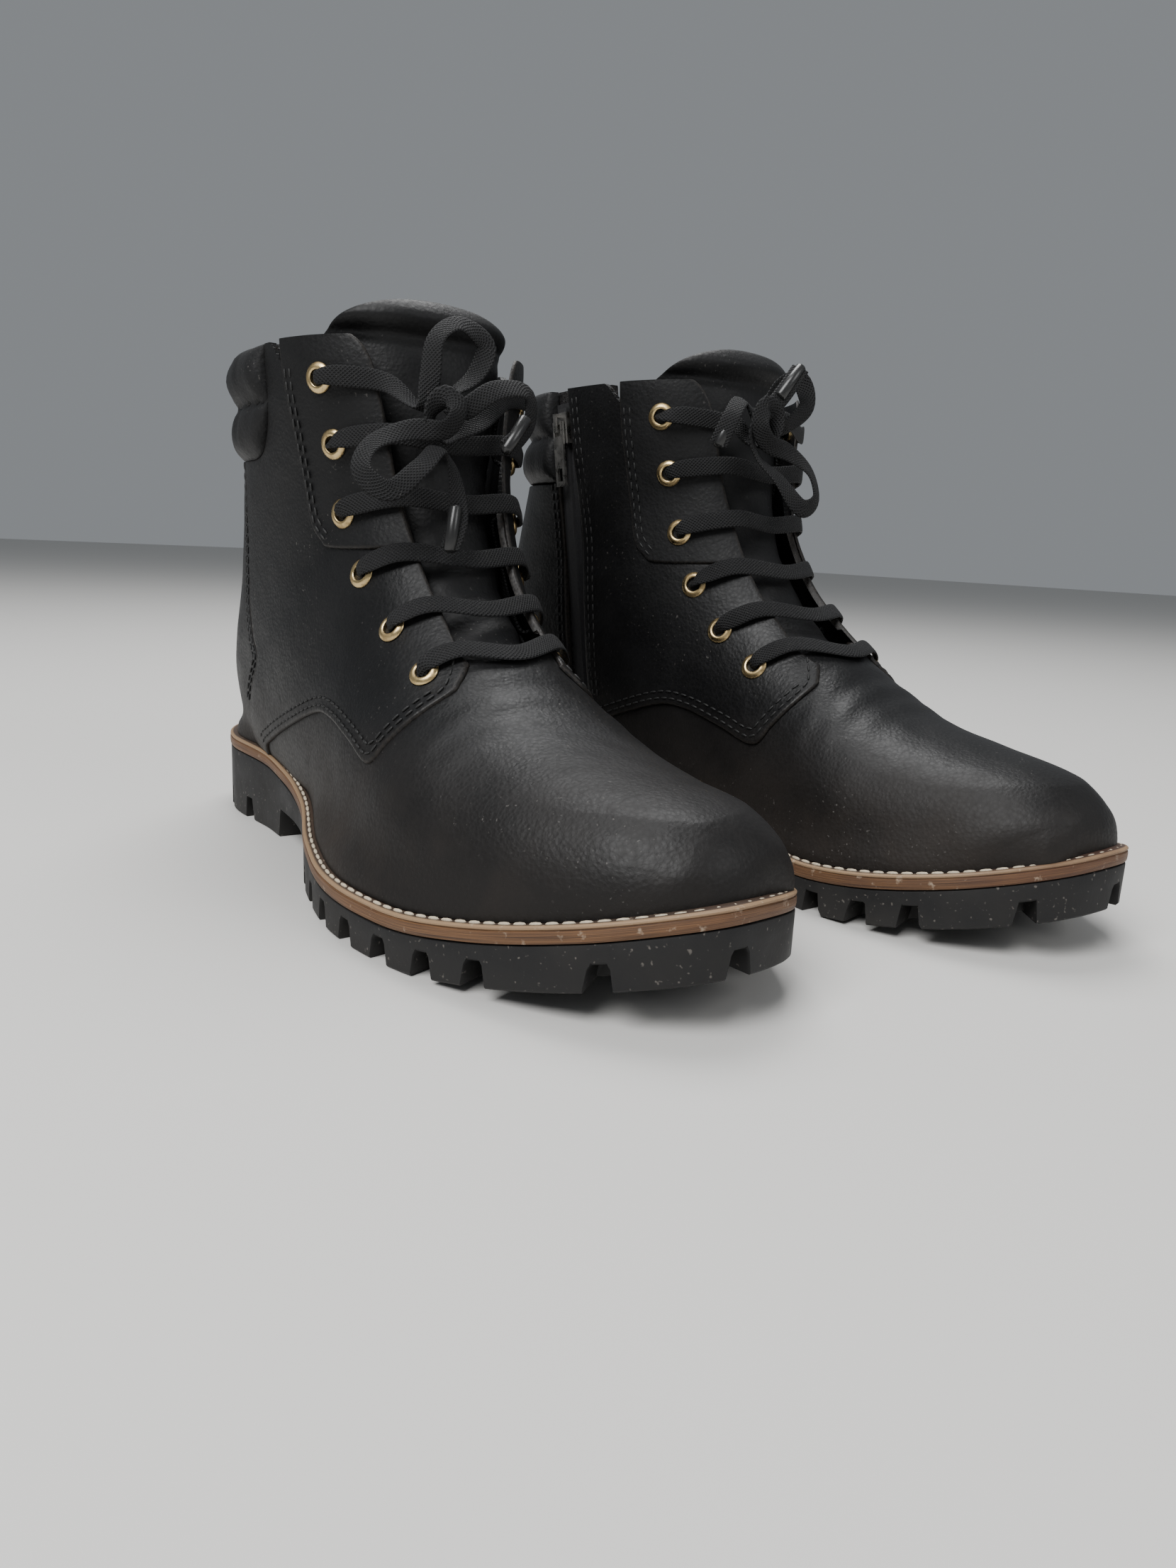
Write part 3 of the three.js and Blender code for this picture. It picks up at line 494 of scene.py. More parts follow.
def makePiece(name, side, points, faces, finish, replaced=(), body="boot", uv=None, values=None, sharp=None):
    # points are in the boot's own millimetres; a mirrored boot has its faces turned round
    mesh = bpy.data.meshes.new(f"{side}_{name}")
    if last["place"][side][3] < 0:
        faces = faces[:, ::-1]
    mesh.from_pydata(placed(np.asarray(points, float), side).tolist(), [], faces.tolist())
    corners = faces.ravel()
    if uv is not None:
        layer = mesh.uv_layers.new(name="along")
        layer.data.foreach_set("uv", np.ascontiguousarray(uv[corners], dtype=np.float32).ravel())
    for key, value in (values or {}).items():
        attribute = mesh.attributes.new(key, "FLOAT", "POINT")
        attribute.data.foreach_set("value", np.ascontiguousarray(value, dtype=np.float32))
    mesh.polygons.foreach_set("use_smooth", np.ones(len(faces), bool))
    if sharp:
        mesh.set_sharp_from_angle(angle=math.radians(sharp))
    mesh.materials.append(finishes[finish][0])
    piece = bpy.data.objects.new(f"{side}_{name}_piece", mesh)
    bpy.context.scene.collection.objects.link(piece)
    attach(piece, f"{side}_{body}")
    if replaced:
        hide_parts(*[f"{side}_{node}" for node in replaced])
    made[f"{side}_{name}"] = piece
    return piece


def gridFaces(rows, columns, ring=False):
    # quads of a grid whose columns may close into a ring
    i, j = np.meshgrid(np.arange(rows - 1), np.arange(columns if ring else columns - 1), indexing="ij")
    i, j = i.ravel(), j.ravel()
    k = (j + 1) % columns
    return np.stack([i * columns + j, i * columns + k, (i + 1) * columns + k, (i + 1) * columns + j], -1)


def smoothLine(points, count=120):
    # a uniform Catmull-Rom line through the points, read at even parameters
    p = np.asarray(points, float)
    x = np.linspace(0, len(p) - 1, count)
    k = np.minimum(x.astype(int), len(p) - 2)
    s = (x - k)[:, None]
    at = lambda i: p[np.clip(i, 0, len(p) - 1)]
    a, b, c, d = at(k - 1), at(k), at(k + 1), at(k + 2)
    return 0.5 * (2 * b + (c - a) * s + (2 * a - 5 * b + 4 * c - d) * s**2 + (3 * b - a - 3 * c + d) * s**3)


def closedLine(points, count):
    # the same through a closed ring, read at even steps of arc
    p = np.asarray(points, float)
    wide = smoothLine(np.vstack([p[-2:], p, p[:3]]), 40 * (len(p) + 4) + 1)
    ring = wide[80 : 80 + 40 * len(p) + 1]
    d = np.r_[0, np.cumsum(np.linalg.norm(np.diff(ring, axis=0), axis=1))]
    even = np.linspace(0, d[-1], count, endpoint=False)
    return np.stack([np.interp(even, d, ring[:, m]) for m in range(ring.shape[1])], -1)


def resample(points, step):
    d = np.r_[0, np.cumsum(np.linalg.norm(np.diff(points[:, :3], axis=0), axis=1))]
    even = np.linspace(0, d[-1], max(2, int(round(d[-1] / step)) + 1))
    return np.stack([np.interp(even, d, points[:, m]) for m in range(points.shape[1])], -1)


def lineDistance(points, line):
    # signed distance to a flat line, positive on its left, and the length along it
    a, b = line[:-1], line[1:]
    run = b - a
    long = np.maximum((run**2).sum(1), 1e-12)
    away = points[:, None, :] - a[None]
    s = np.clip((away * run).sum(-1) / long, 0, 1)
    gap = away - s[..., None] * run
    size = (gap**2).sum(-1)
    k = size.argmin(1)
    row = np.arange(len(points))
    cross = run[k, 0] * away[row, k, 1] - run[k, 1] * away[row, k, 0]
    start = np.r_[0, np.cumsum(np.sqrt(long))][:-1]
    return np.sqrt(size[row, k]) * np.sign(cross), start[k] + s[row, k] * np.sqrt(long[k])


def split(values, faces, f, keepBoth=False):
    # cuts a triangle mesh along f = 0: each crossed edge gets a point in straight proportion, and
    # unless both sides are kept only the part where f is positive stays
    f = np.where(np.abs(f) < 1e-6, 1e-6, f)
    state = f[faces] > 0
    count = state.sum(1)
    mixed = faces[(count == 1) | (count == 2)]
    up = f[mixed] > 0
    alone = np.where(up.sum(1) == 1, up.argmax(1), (~up).argmax(1))
    row = np.arange(len(mixed))
    a, b, c = (mixed[row, (alone + m) % 3] for m in range(3))
    edges = np.sort(np.concatenate([np.stack([a, b], 1), np.stack([a, c], 1)]), axis=1)
    key, where = np.unique(edges[:, 0] * len(f) + edges[:, 1], return_inverse=True)
    p, q = key // len(f), key % len(f)
    w = (f[p] / (f[p] - f[q]))[:, None]
    values = np.vstack([values, values[p] * (1 - w) + values[q] * w])
    ab, ac = np.split(where + len(f), 2)
    lone = np.stack([a, ab, ac], 1)
    pair = np.concatenate([np.stack([ab, b, c], 1), np.stack([ab, c, ac], 1)])
    single = up.sum(1) == 1
    both = np.r_[single, single]
    if keepBoth:
        kept = [faces[(count == 0) | (count == 3)], lone, pair]
    else:
        kept = [faces[count == 3], lone[single], pair[~both]]
    faces = np.concatenate(kept)
    used, faces = np.unique(faces, return_inverse=True)
    return values[used], faces.reshape(-1, 3)


def welded(values, faces):
    # points that share a place become one, and faces that collapse are dropped
    keys = np.round(values[:, :3] * 2000).astype(np.int64)
    _, first, where = np.unique(keys, axis=0, return_index=True, return_inverse=True)
    faces = where.reshape(-1)[faces]
    good = (faces[:, 0] != faces[:, 1]) & (faces[:, 1] != faces[:, 2]) & (faces[:, 2] != faces[:, 0])
    return values[first], faces[good]


def rimEdges(faces):
    # directed edges that no other face shares
    edges = np.concatenate([faces[:, [0, 1]], faces[:, [1, 2]], faces[:, [2, 0]]])
    size = faces.max() + 1
    forward, back = edges[:, 0] * size + edges[:, 1], edges[:, 1] * size + edges[:, 0]
    return edges[~np.isin(forward, back)]


def thickened(outer, inner, faces):
    # a closed skin: the outer sheet, the inner one turned round, and quads cut in two along the rim
    n = len(outer)
    rim = rimEdges(faces)
    a, b = rim[:, 0], rim[:, 1]
    walls = np.concatenate([np.stack([b, a, a + n], 1), np.stack([b, a + n, b + n], 1)])
    return np.vstack([outer, inner]), np.concatenate([faces, faces[:, ::-1] + n, walls])


def ringSweep(path, out, section, width=None, ring=True):
    # a section (across, out) carried along a path whose out direction is given at each point
    tangent = np.gradient(path, axis=0)
    if ring:
        tangent = np.roll(path, -1, 0) - np.roll(path, 1, 0)
    tangent = unit(tangent)
    across = unit(np.cross(out, tangent))
    out = unit(np.cross(tangent, across))
    wide = np.ones(len(path)) if width is None else width
    return (
        path[:, None]
        + across[:, None] * section[None, :, :1] * wide[:, None, None]
        + out[:, None] * section[None, :, 1:]
    )


# the sheet that every panel of the upper is cut from
sheetSteps = {"rowsPerStation": 13, "columns": 200}


def makeSheet():
    # columns: x, y, z, normal x, y, z, station, u
    near = [heelStation - b for b in (1.4, 1.0, 0.7, 0.45, 0.25, 0.1, 0.03, 0.0, -0.1, -0.3)]
    toe = np.linspace(0, 1, 26) ** 1.7
    rows = np.r_[toe, np.linspace(1, last["collar"], 14 * sheetSteps["rowsPerStation"] + 1), near]
    rows = np.unique(np.round(rows, 4))
    us = np.linspace(-1, 1, sheetSteps["columns"] + 1)
    t, u = np.meshgrid(rows, us, indexing="ij")
    p, n = upper(t, u), upperNormal(t, u)
    values = np.concatenate([p, n, t[..., None], u[..., None]], -1).reshape(-1, 8)
    quads = gridFaces(len(rows), len(us))
    faces = np.concatenate([quads[:, [0, 1, 2]], quads[:, [0, 2, 3]]])
    return welded(values, faces)


lines = {
    key: smoothLine(last[key], 100)
    for key in ("quarterSeam", "heelSeam", "padBorder", "facingBorder", "openingEdge")
}
zipTop, zipBottom = np.array(last["zipTop"]), np.array(last["zipBottom"])
zipUp = unit(zipTop - zipBottom)
zipAcross = unit(np.array([0.0, 1.0, 0.0]) - zipUp * zipUp[1])
zipOut = np.cross(zipAcross, zipUp)
slot = 5.6  # half the width of the gap that shows the zip


def sideView(v):
    return v[:, 1:3]


def aboveQuarterSeam(v):
    return lineDistance(sideView(v), lines["quarterSeam"])[0]


def outsideOpening(v):
    front = np.stack([np.abs(v[:, 0]), v[:, 2]], 1)
    f = -lineDistance(front, lines["openingEdge"])[0]
    return np.where(v[:, 1] > 48, 40, f)


def insideHeel(v):
    return lineDistance(sideView(v), lines["heelSeam"])[0]


def belowPad(v):
    return -lineDistance(sideView(v), lines["padBorder"])[0]


def beforeZip(v):
    # distance ahead of the zip's line, run straight on below it
    run = (zipUp[1:] / np.linalg.norm(zipUp[1:])) * np.array([1, 1])
    away = sideView(v) - zipBottom[1:]
    return away[:, 1] * run[0] - away[:, 0] * run[1]


# laces
lace = {
    "width": 6.6,
    "thickness": 1.15,
    "throat": 3.8,  # width inside an eyelet
    # rows of (across, level, depth): -1 and 1 are the two rows of eyelets, level 1 is the lowest pair
    "laced": [
        (-0.5, 5.72, 3.6), (-0.82, 5.95, 5), (-1, 6, 4.4), (-1, 6, -4.2), (-0.86, 5, -4.2), (-1, 4, -4.2), (-1, 4, 4.4), (-0.85, 4, 5.1),
        (-0.42, 3.8, 4.3), (0, 3.62, -0.8), (0.42, 3.8, 4.3),
        (0.85, 4, 5.1), (1, 4, 4.4), (1, 4, -4.2), (0.86, 3, -4.2), (1, 2, -4.2), (1, 2, 2.7), (0.85, 2, 3.7),
        (0.55, 1.88, 3.1), (0, 1.62, -0.6), (-0.55, 1.88, 3.1),
        (-0.85, 2, 3.7), (-1, 2, 2.7), (-1, 2, -4.2), (-1, 1, -4.2), (-1, 1, 2.7), (-0.85, 1, 3.7),
        (-0.55, 0.88, 3.1), (0, 0.52, 1.6), (0.55, 0.88, 3.1),
        (0.85, 1, 3.7), (1, 1, 2.7), (1, 1, -4.2), (1.13, 2, -4.2), (1, 3, -4.2), (1, 3, 2.7), (0.85, 3, 3.7),
        (0.55, 2.88, 3.1), (0, 2.62, -0.8), (-0.55, 2.88, 3.1),
        (-0.85, 3, 3.7), (-1, 3, 2.7), (-1, 3, -4.2), (-1.13, 4, -4.2), (-1, 5, -4.2), (-1, 5, 4.4), (-0.85, 5, 5.1),
        (-0.45, 4.84, 4.3), (0, 4.68, -0.8), (0.45, 4.84, 4.3),
        (0.85, 5, 5.1), (1, 5, 4.4), (1, 5, -4.2), (1, 6, -4.2), (1, 6, 4.4), (0.82, 5.95, 5), (0.5, 5.72, 3.6),
    ],
    "bowSpot": {"right": (-0.2, 4.9, 8), "left": (0.3, 5.4, 8)},
    # points of the bow from the knot, in millimetres: towards the inner side, up, out
    "firstEnd": {
        "right": [
            (21, -8, 5), (30, 2, 2), (29, 11, 4), (17, 9, 9), (6, 2, 8), (3, 7, 4), (12, 15, 3), (16, 25, 3),
            (7, 30, 5), (-1, 24, 6), (-3, 12, 5), (-5, 3, 2),
        ],
        "left": [
            (19, -7, 7), (15, 3, 10), (9, 9, 7), (2, 3, 6), (-3, 8, 3), (-9, 17, 2), (-17, 20, 4), (-19, 10, 6),
            (-10, 2, 6), (-4, 1, 3), (-14, 6, 0),
        ],
    },
    "secondEnd": {
        "right": [
            (14, 2, -2), (5, -3, 0), (-1, -6, 4), (-4, 0, 8), (0, 5, 11), (4, 1, 12), (0, -5, 10),
            (-10, -5, 7), (-22, -10, 7), (-26, -19, 9), (-18, -25, 11), (-8, -17, 11), (-1, -10, 7),
            (4, -17, 4), (5, -30, 3), (2, -40, 3),
        ],
        "left": [
            (7, 2, 0), (2, -4, 2), (-3, -4, 7), (-3, 4, 10), (2, 7, 12), (5, 0, 12), (0, -6, 10),
            (-10, -8, 8), (-20, -14, 7), (-22, -24, 8), (-14, -28, 10), (-5, -18, 9), (2, -10, 6),
            (6, -1, 9), (-4, 10, 11), (-12, 21, 12),
        ],
    },
}


def lacePoint(across, level, depth):
    # between the eyelets the station and the share of the girth are mixed in straight proportion
    k = min(max(int(level) - 1, 0), 4)
    w = level - 1 - k
    ends = []
    for side in (-1, 1):
        (ta, ua), (tb, ub) = eyeletSpots[side][k], eyeletSpots[side][k + 1]
        ends.append((ta + (tb - ta) * w, abs(ua + (ub - ua) * w)))
    (tOuter, uOuter), (tInner, uInner) = ends
    t = tOuter + (tInner - tOuter) * (min(1, max(-1, across)) + 1) / 2
    u = across * (uOuter if across < 0 else uInner)
    t, u = np.array(t), np.array(u)
    n = upperNormal(t, u)
    return upper(t, u) + n * depth, n


def bowFrame(side):
    # axes at the knot: level across the boot, up along the tongue, and out
    origin, out = lacePoint(*lace["bowSpot"][side])
    right = unit(np.cross((0.0, 0.0, 1.0), out))
    return origin, np.stack([right, np.cross(out, right), out])


def laceRoute(side):
    # one lace from tip to tip
    origin, axes = bowFrame(side)
    laced = np.array([lacePoint(*row)[0] for row in lace["laced"]])
    first = origin + np.array(lace["firstEnd"][side], float) @ axes
    second = origin + np.array(lace["secondEnd"][side], float) @ axes
    return first, laced, second

# the room: a pale floor and soft lamps
room = {
    "floor": 6.0,
    "lamps": [
        # place, size, watts
        ((-1.0, -0.35, 1.35), 0.9, 34),
        ((0.5, -1.4, 1.0), 0.7, 7),
        ((0.3, 0.5, 1.5), 0.8, 20),
    ],
    "sky": 0.26,
}


def makeRoom():
    # one wide level square under the boots, square lamps aimed at the middle, and an even grey sky
    size = room["floor"]
    mesh = bpy.data.meshes.new("floor")
    corners = [(-size, -size, 0), (size, -size, 0), (size, size, 0), (-size, size, 0)]
    mesh.from_pydata(corners, [], [(0, 1, 2, 3)])
    floor = bpy.data.objects.new("floor", mesh)
    material, place, part, read, feed = newFinish("pale floor", (0.6, 0.59, 0.57), 0.75)
    mesh.materials.append(material)
    bpy.context.scene.collection.objects.link(floor)
    for k, (spot, wide, watts) in enumerate(room["lamps"]):
        data = bpy.data.lights.new(f"lamp {k + 1}", "AREA")
        data.size = wide
        data.energy = watts
        lamp = bpy.data.objects.new(f"lamp {k + 1}", data)
        lamp.location = spot
        lamp.rotation_euler = (Vector((0, 0, 0.08)) - Vector(spot)).to_track_quat("-Z", "Y").to_euler()
        bpy.context.scene.collection.objects.link(lamp)
    world = bpy.data.worlds.new("sky")
    world.use_nodes = True
    world.node_tree.nodes["Background"].inputs["Color"].default_value = (0.9, 0.95, 1.0, 1)
    world.node_tree.nodes["Background"].inputs["Strength"].default_value = room["sky"]
    bpy.context.scene.world = world


makeRoom()
print("room done")

sides = ("right", "left")

panel = {
    "roll": 0.9,  # radius of a rolled or skived edge
    "bands": (0.2, 0.5, 0.9),  # extra lines of points beside an edge
    "holeSize": 2.5,
}


def meshFrom(cuts, bands=(0.2, 0.5, 0.9), keep=None):
    # the part of the sheet where every cut is positive, with lines of points near its edges
    values, faces = wholeSheet
    for cut in cuts:
        values, faces = split(values, faces, cut(values))
    if keep is not None:
        faces = faces[keep(values)[faces].all(1)]
        used, faces = np.unique(faces, return_inverse=True)
        values, faces = values[used], faces.reshape(-1, 3)
    for cut in cuts:
        for gap in bands:
            values, faces = split(values, faces, cut(values) - gap, True)
    edge = np.min([cut(values) for cut in cuts], axis=0)
    return values, faces, np.maximum(edge, 0)


def rolled(edge, radius):
    # how far a rounded edge drops: a quarter circle over the last radius
    return radius * (1 - np.sqrt(np.clip(1 - (1 - np.clip(edge / radius, 0, 1)) ** 2, 0, 1)))


def waves(points, seeds, scale):
    # a slow smooth wobble: a sum of sines in three directions
    total = np.zeros(len(points))
    random = np.random.default_rng(seeds)
    for k in range(9):
        way = unit(random.normal(size=3)) * scale * (0.6 + 1.3 * random.random())
        total += np.sin(points @ way + random.random() * 6.28) / 3
    return total


def soleRing(count):
    # the outline clockwise seen from above, from the heel along the inner side, and its outward direction
    ring = closedLine(np.array(last["outline"], float), count)
    run = unit(np.roll(ring, -1, 0) - np.roll(ring, 1, 0))
    return ring, np.stack([-run[:, 1], run[:, 0]], 1)


footTurn = {"welt": 3.4, "reach": 9.0}


def turnedOut(base):
    # how far the foot of the leather bends out over the welt: the push fades as a bell over the
    # height and leaves the same width of welt to be seen all round
    ring, out = soleRing(360)
    gaps = ((base[:, None, :2] - ring[None]) ** 2).sum(-1)
    near = gaps.argmin(1)
    away = np.sqrt(gaps[np.arange(len(base)), near])
    high = np.maximum(base[:, 2] - footing(base[:, 1]), 0)
    reach = footTurn["reach"] + 0.9 * np.clip(away - 8, 0, 8)
    push = np.clip(away - footTurn["welt"], 0, 17) * bump(high, reach)
    return out[near] * push[:, None]


def raised(values, depth):
    # points moved out along the sheet's normal, turned out at the foot and kept on the welt
    points = values[:, :3] + values[:, 3:6] * np.asarray(depth)[..., None]
    low = values[:, 2] < footing(values[:, 1]) + 40
    points[low, :2] += turnedOut(values[low, :3])
    points[:, 2] = np.maximum(points[:, 2], footing(points[:, 1]))
    return points


def leatherPanel(name, cuts, outer, inner, finish, nodes, keep=None, seed=1, radius=0.9):
    # the panel's outer face is its offset plus wobble less the rolled edge; its inner face is plain
    values, faces, edge = meshFrom(cuts, panel["bands"], keep)
    flex = (values[:, 1] + 60) / 14
    creases = 0.2 * np.sin(values[:, 1] * 0.62 + values[:, 0] * 0.05) * bump(flex, 1.0) * smooth((values[:, 2] - 45) / 25)
    depth = outer(values, edge) + 0.16 * waves(values[:, :3], seed, 0.09) + 0.05 * waves(values[:, :3], seed + 7, 0.35)
    depth = depth + creases * smooth(edge / 4) - rolled(edge, radius)
    under = inner(values, edge) if callable(inner) else inner + 0 * depth
    under = np.minimum(under, depth - 0.25)
    n = len(values)
    for side in sides:
        points, closed = thickened(raised(values, depth), raised(values, under), faces)
        edges = np.r_[edge, edge]
        makePiece(name, side, points, closed, finish, nodes, values={"edge": edges}, sharp=50)
    return values, faces, edge


def quarterCuts(front=True):
    return [aboveQuarterSeam, outsideOpening]


def zipGap(v):
    # half the slot's width: full beside the chain, closing below it
    return 0.15 + (slot - 0.15) * smooth((v[:, 2] - 43) / 6)


def aheadOfZip(v):
    return beforeZip(v) - zipGap(v)


def heelCut(v):
    lateral = v[:, 7] < 0
    return np.where(lateral, insideHeel(v) - 0.15, -beforeZip(v) - zipGap(v))


def lowerVamp(v):
    return np.minimum(6 - aboveQuarterSeam(v), 84 - v[:, 2])


def quarterDepth(v, edge):
    # one thickness above the vamp, with a slight dip about 4 mm behind the seam
    seam = np.clip(aboveQuarterSeam(v), 0, None)
    return 1.35 + 0.25 * bump(seam - 4, 1.6) * -0.35 + 0 * edge


def buildUpper():
    leatherPanel("vamp", [lowerVamp], lambda v, e: 0 * e + 0.05, -1.75, "leather", ["vamp"], seed=3)
    leatherPanel(
        "quarter_lateral", [aboveQuarterSeam, outsideOpening, lambda v: -insideHeel(v) - 0.15, belowPad],
        quarterDepth, lambda v, e: np.where(aboveQuarterSeam(v) < 7, 0.12, -1.3), "leather",
        ["quarter_lateral"], keep=lambda v: v[:, 7] <= 0, seed=5,
    )
    leatherPanel(
        "quarter_medial", [aboveQuarterSeam, outsideOpening, aheadOfZip],
        quarterDepth, lambda v, e: np.where(aboveQuarterSeam(v) < 7, 0.12, -1.3), "leather",
        ["quarter_medial"], keep=lambda v: v[:, 7] >= 0, seed=9,
    )
    leatherPanel("heel_quarter", [heelCut, belowPad], lambda v, e: 0 * e + 1.1, -1.3, "leather", ["heel_quarter"], seed=11)
    for word, sign in (("lateral", -1), ("medial", 1)):
        leatherPanel(
            f"facing_{word}", [lambda v: insideFacing(v), outsideOpening],
            lambda v, e: 0 * e + 2.5, 1.45, "facing", [f"facing_{word}"],
            keep=lambda v, s=sign: v[:, 7] * s >= 0, seed=13 + sign,
        )


def insideFacing(v):
    return -lineDistance(sideView(v), lines["facingBorder"])[0]


wholeSheet = makeSheet()
buildUpper()
print("leather done")

pad = {"low": 139.5, "high": 175, "height": 4.5, "side": 5}


def makePad():
    # two padded rolls round the collar: the height goes as the root of a sine over each roll
    def ends(v):
        lateral = v[:, 7] < 0
        return np.where(lateral, -belowPad(v), np.minimum(-beforeZip(v) - slot, v[:, 2] - pad["low"]))

    values, faces, edge = meshFrom([ends], (0.4, 1.2, 2.5, 4.0), keep=lambda v: v[:, 1] > 44)
    share = np.clip((values[:, 2] - pad["low"]) / (pad["high"] - pad["low"]), 0, 1)
    roll = np.abs(np.sin(2 * math.pi * share)) ** 0.5
    side = np.sqrt(np.clip(1 - (1 - np.clip(edge / pad["side"], 0, 1)) ** 2, 0, 1))
    puckers = 0.35 * waves(values[:, :3], 21, 0.3) + 0.2 * waves(values[:, :3] * (1, 1, 0.2), 22, 0.6)
    height = 0.9 + (pad["height"] + puckers) * roll * side
    for side in sides:
        points, closed = thickened(raised(values, height), raised(values, 0 * height - 1.9), faces)
        piece = makePiece("collar_pad", side, points, closed, "collar", ["collar_pad"], sharp=60)


makePad()

lining = {"outer": -2.9, "inner": -6.4, "reach": 19, "foot": 1.4}


def makeLining():
    # a fleece sheet inside the leather, open at the front by the opening grown wider, with a lumpy face
    def inner(v):
        front = np.stack([np.abs(v[:, 0]), v[:, 2]], 1)
        f = -lineDistance(front, lines["openingEdge"] + (lining["reach"], -lining["reach"]))[0]
        return np.where(v[:, 1] > 48, 40, f)

    values, faces, edge = meshFrom([inner], (0.8,))
    lumps = 0.35 * waves(values[:, :3], 31, 0.6) + 0.2 * waves(values[:, :3], 32, 1.6)
    depth = lining["inner"] + lumps * smooth(edge / 3)
    top = (values[:, 6] > last["collar"] - 0.35)
    for side in sides:
        outer = raised(values, 0 * depth + lining["outer"])
        inside = raised(values, depth)
        points, closed = thickened(outer, inside, faces)
        makePiece("lining", side, points, closed, "fleece", ["lining"], sharp=70)


makeLining()
print("collar and lining done")

tongue = {"low": 6.3, "high": 16.4, "rows": 190, "columns": 60, "thick": 3.0}


def makeTongue():
    # a closed tube of rows up the ridge: each ring is the outer line, an edge, and the inner line back
    n, m = tongue["rows"], tongue["columns"]
    t = np.linspace(tongue["low"], tongue["high"], n)[:, None]
    reach = 0.17 + 0.19 * smooth((t - 7) / 8)
    reach = reach * np.clip((tongue["high"] + 0.02 - t) / 2.0, 0.0004, 1) ** 0.47
    angle = np.linspace(0, 2 * math.pi, m, endpoint=False)[None, :]
    across = np.cos(angle)
    lobe = np.abs(np.sin(angle)) ** 0.35 * np.sign(np.sin(angle))
    rise = 3.6 * smooth((t - 15) / 0.8)
    seam = bump(t - 15.35, 0.09)
    plump = 1.0 + 1.2 * smooth((t - 15.3) / 0.5)
    thick = tongue["thick"] / 2 * plump * (1 - 0.35 * seam)
    thick = thick * np.sqrt(np.clip((tongue["high"] - t) / 0.5, 0.03, 1)) * np.sqrt(np.clip((t - tongue["low"]) / 0.2, 0.05, 1))
    middle = -7.7 + rise
    folds = 0.35 * np.sin(t * 4.1 + across * 1.2) * bump(t - 10.5, 3) + 0.3 * np.sin(t * 9 + 3 * across) * bump(t - 8, 1.5)
    u = -across * reach
    depth = middle + folds + lobe * thick
    t = np.broadcast_to(t, depth.shape)
    p = upper(t, u) + upperNormal(t, u) * depth[..., None]
    faces = gridFaces(n, m, ring=True)
    low = np.arange(m)[::-1]
    points = p.reshape(-1, 3)
    triangles = np.concatenate([faces[:, [0, 1, 2]], faces[:, [0, 2, 3]]])
    for row, turn in ((0, 1), (n - 1, -1)):
        centre = len(points)
        points = np.vstack([points, p[row].mean(0)[None]])
        a = row * m + np.arange(m)
        b = row * m + (np.arange(m) + 1) % m
        fan = np.stack([a, b, np.full(m, centre)], 1)
        triangles = np.concatenate([triangles, fan[:, ::-1] if turn > 0 else fan])
    a, b, c = (points[triangles[:, k]] for k in range(3))
    volume = (np.cross(a, b) * c).sum() / 6
    if volume < 0:
        triangles = triangles[:, ::-1]
    for side in sides:
        piece = makePiece(
            "tongue", side, points, triangles, "tongueLeather", ["tongue"], body="tongue", sharp=60
        )


makeTongue()
print("tongue done")

# the sole
sole = {
    "columns": 720,
    "forefoot": [*np.linspace(0.235, 0.405, 8), 0.452, 0.5, 0.55, *np.linspace(0.6, 0.775, 8)],
    "heel": [0.012, 0.045, 0.08, 0.115, 0.15, 0.885, 0.92, 0.955, 0.985],
    "notch": 6.2,
    "waist": (10, 66, 11),
}


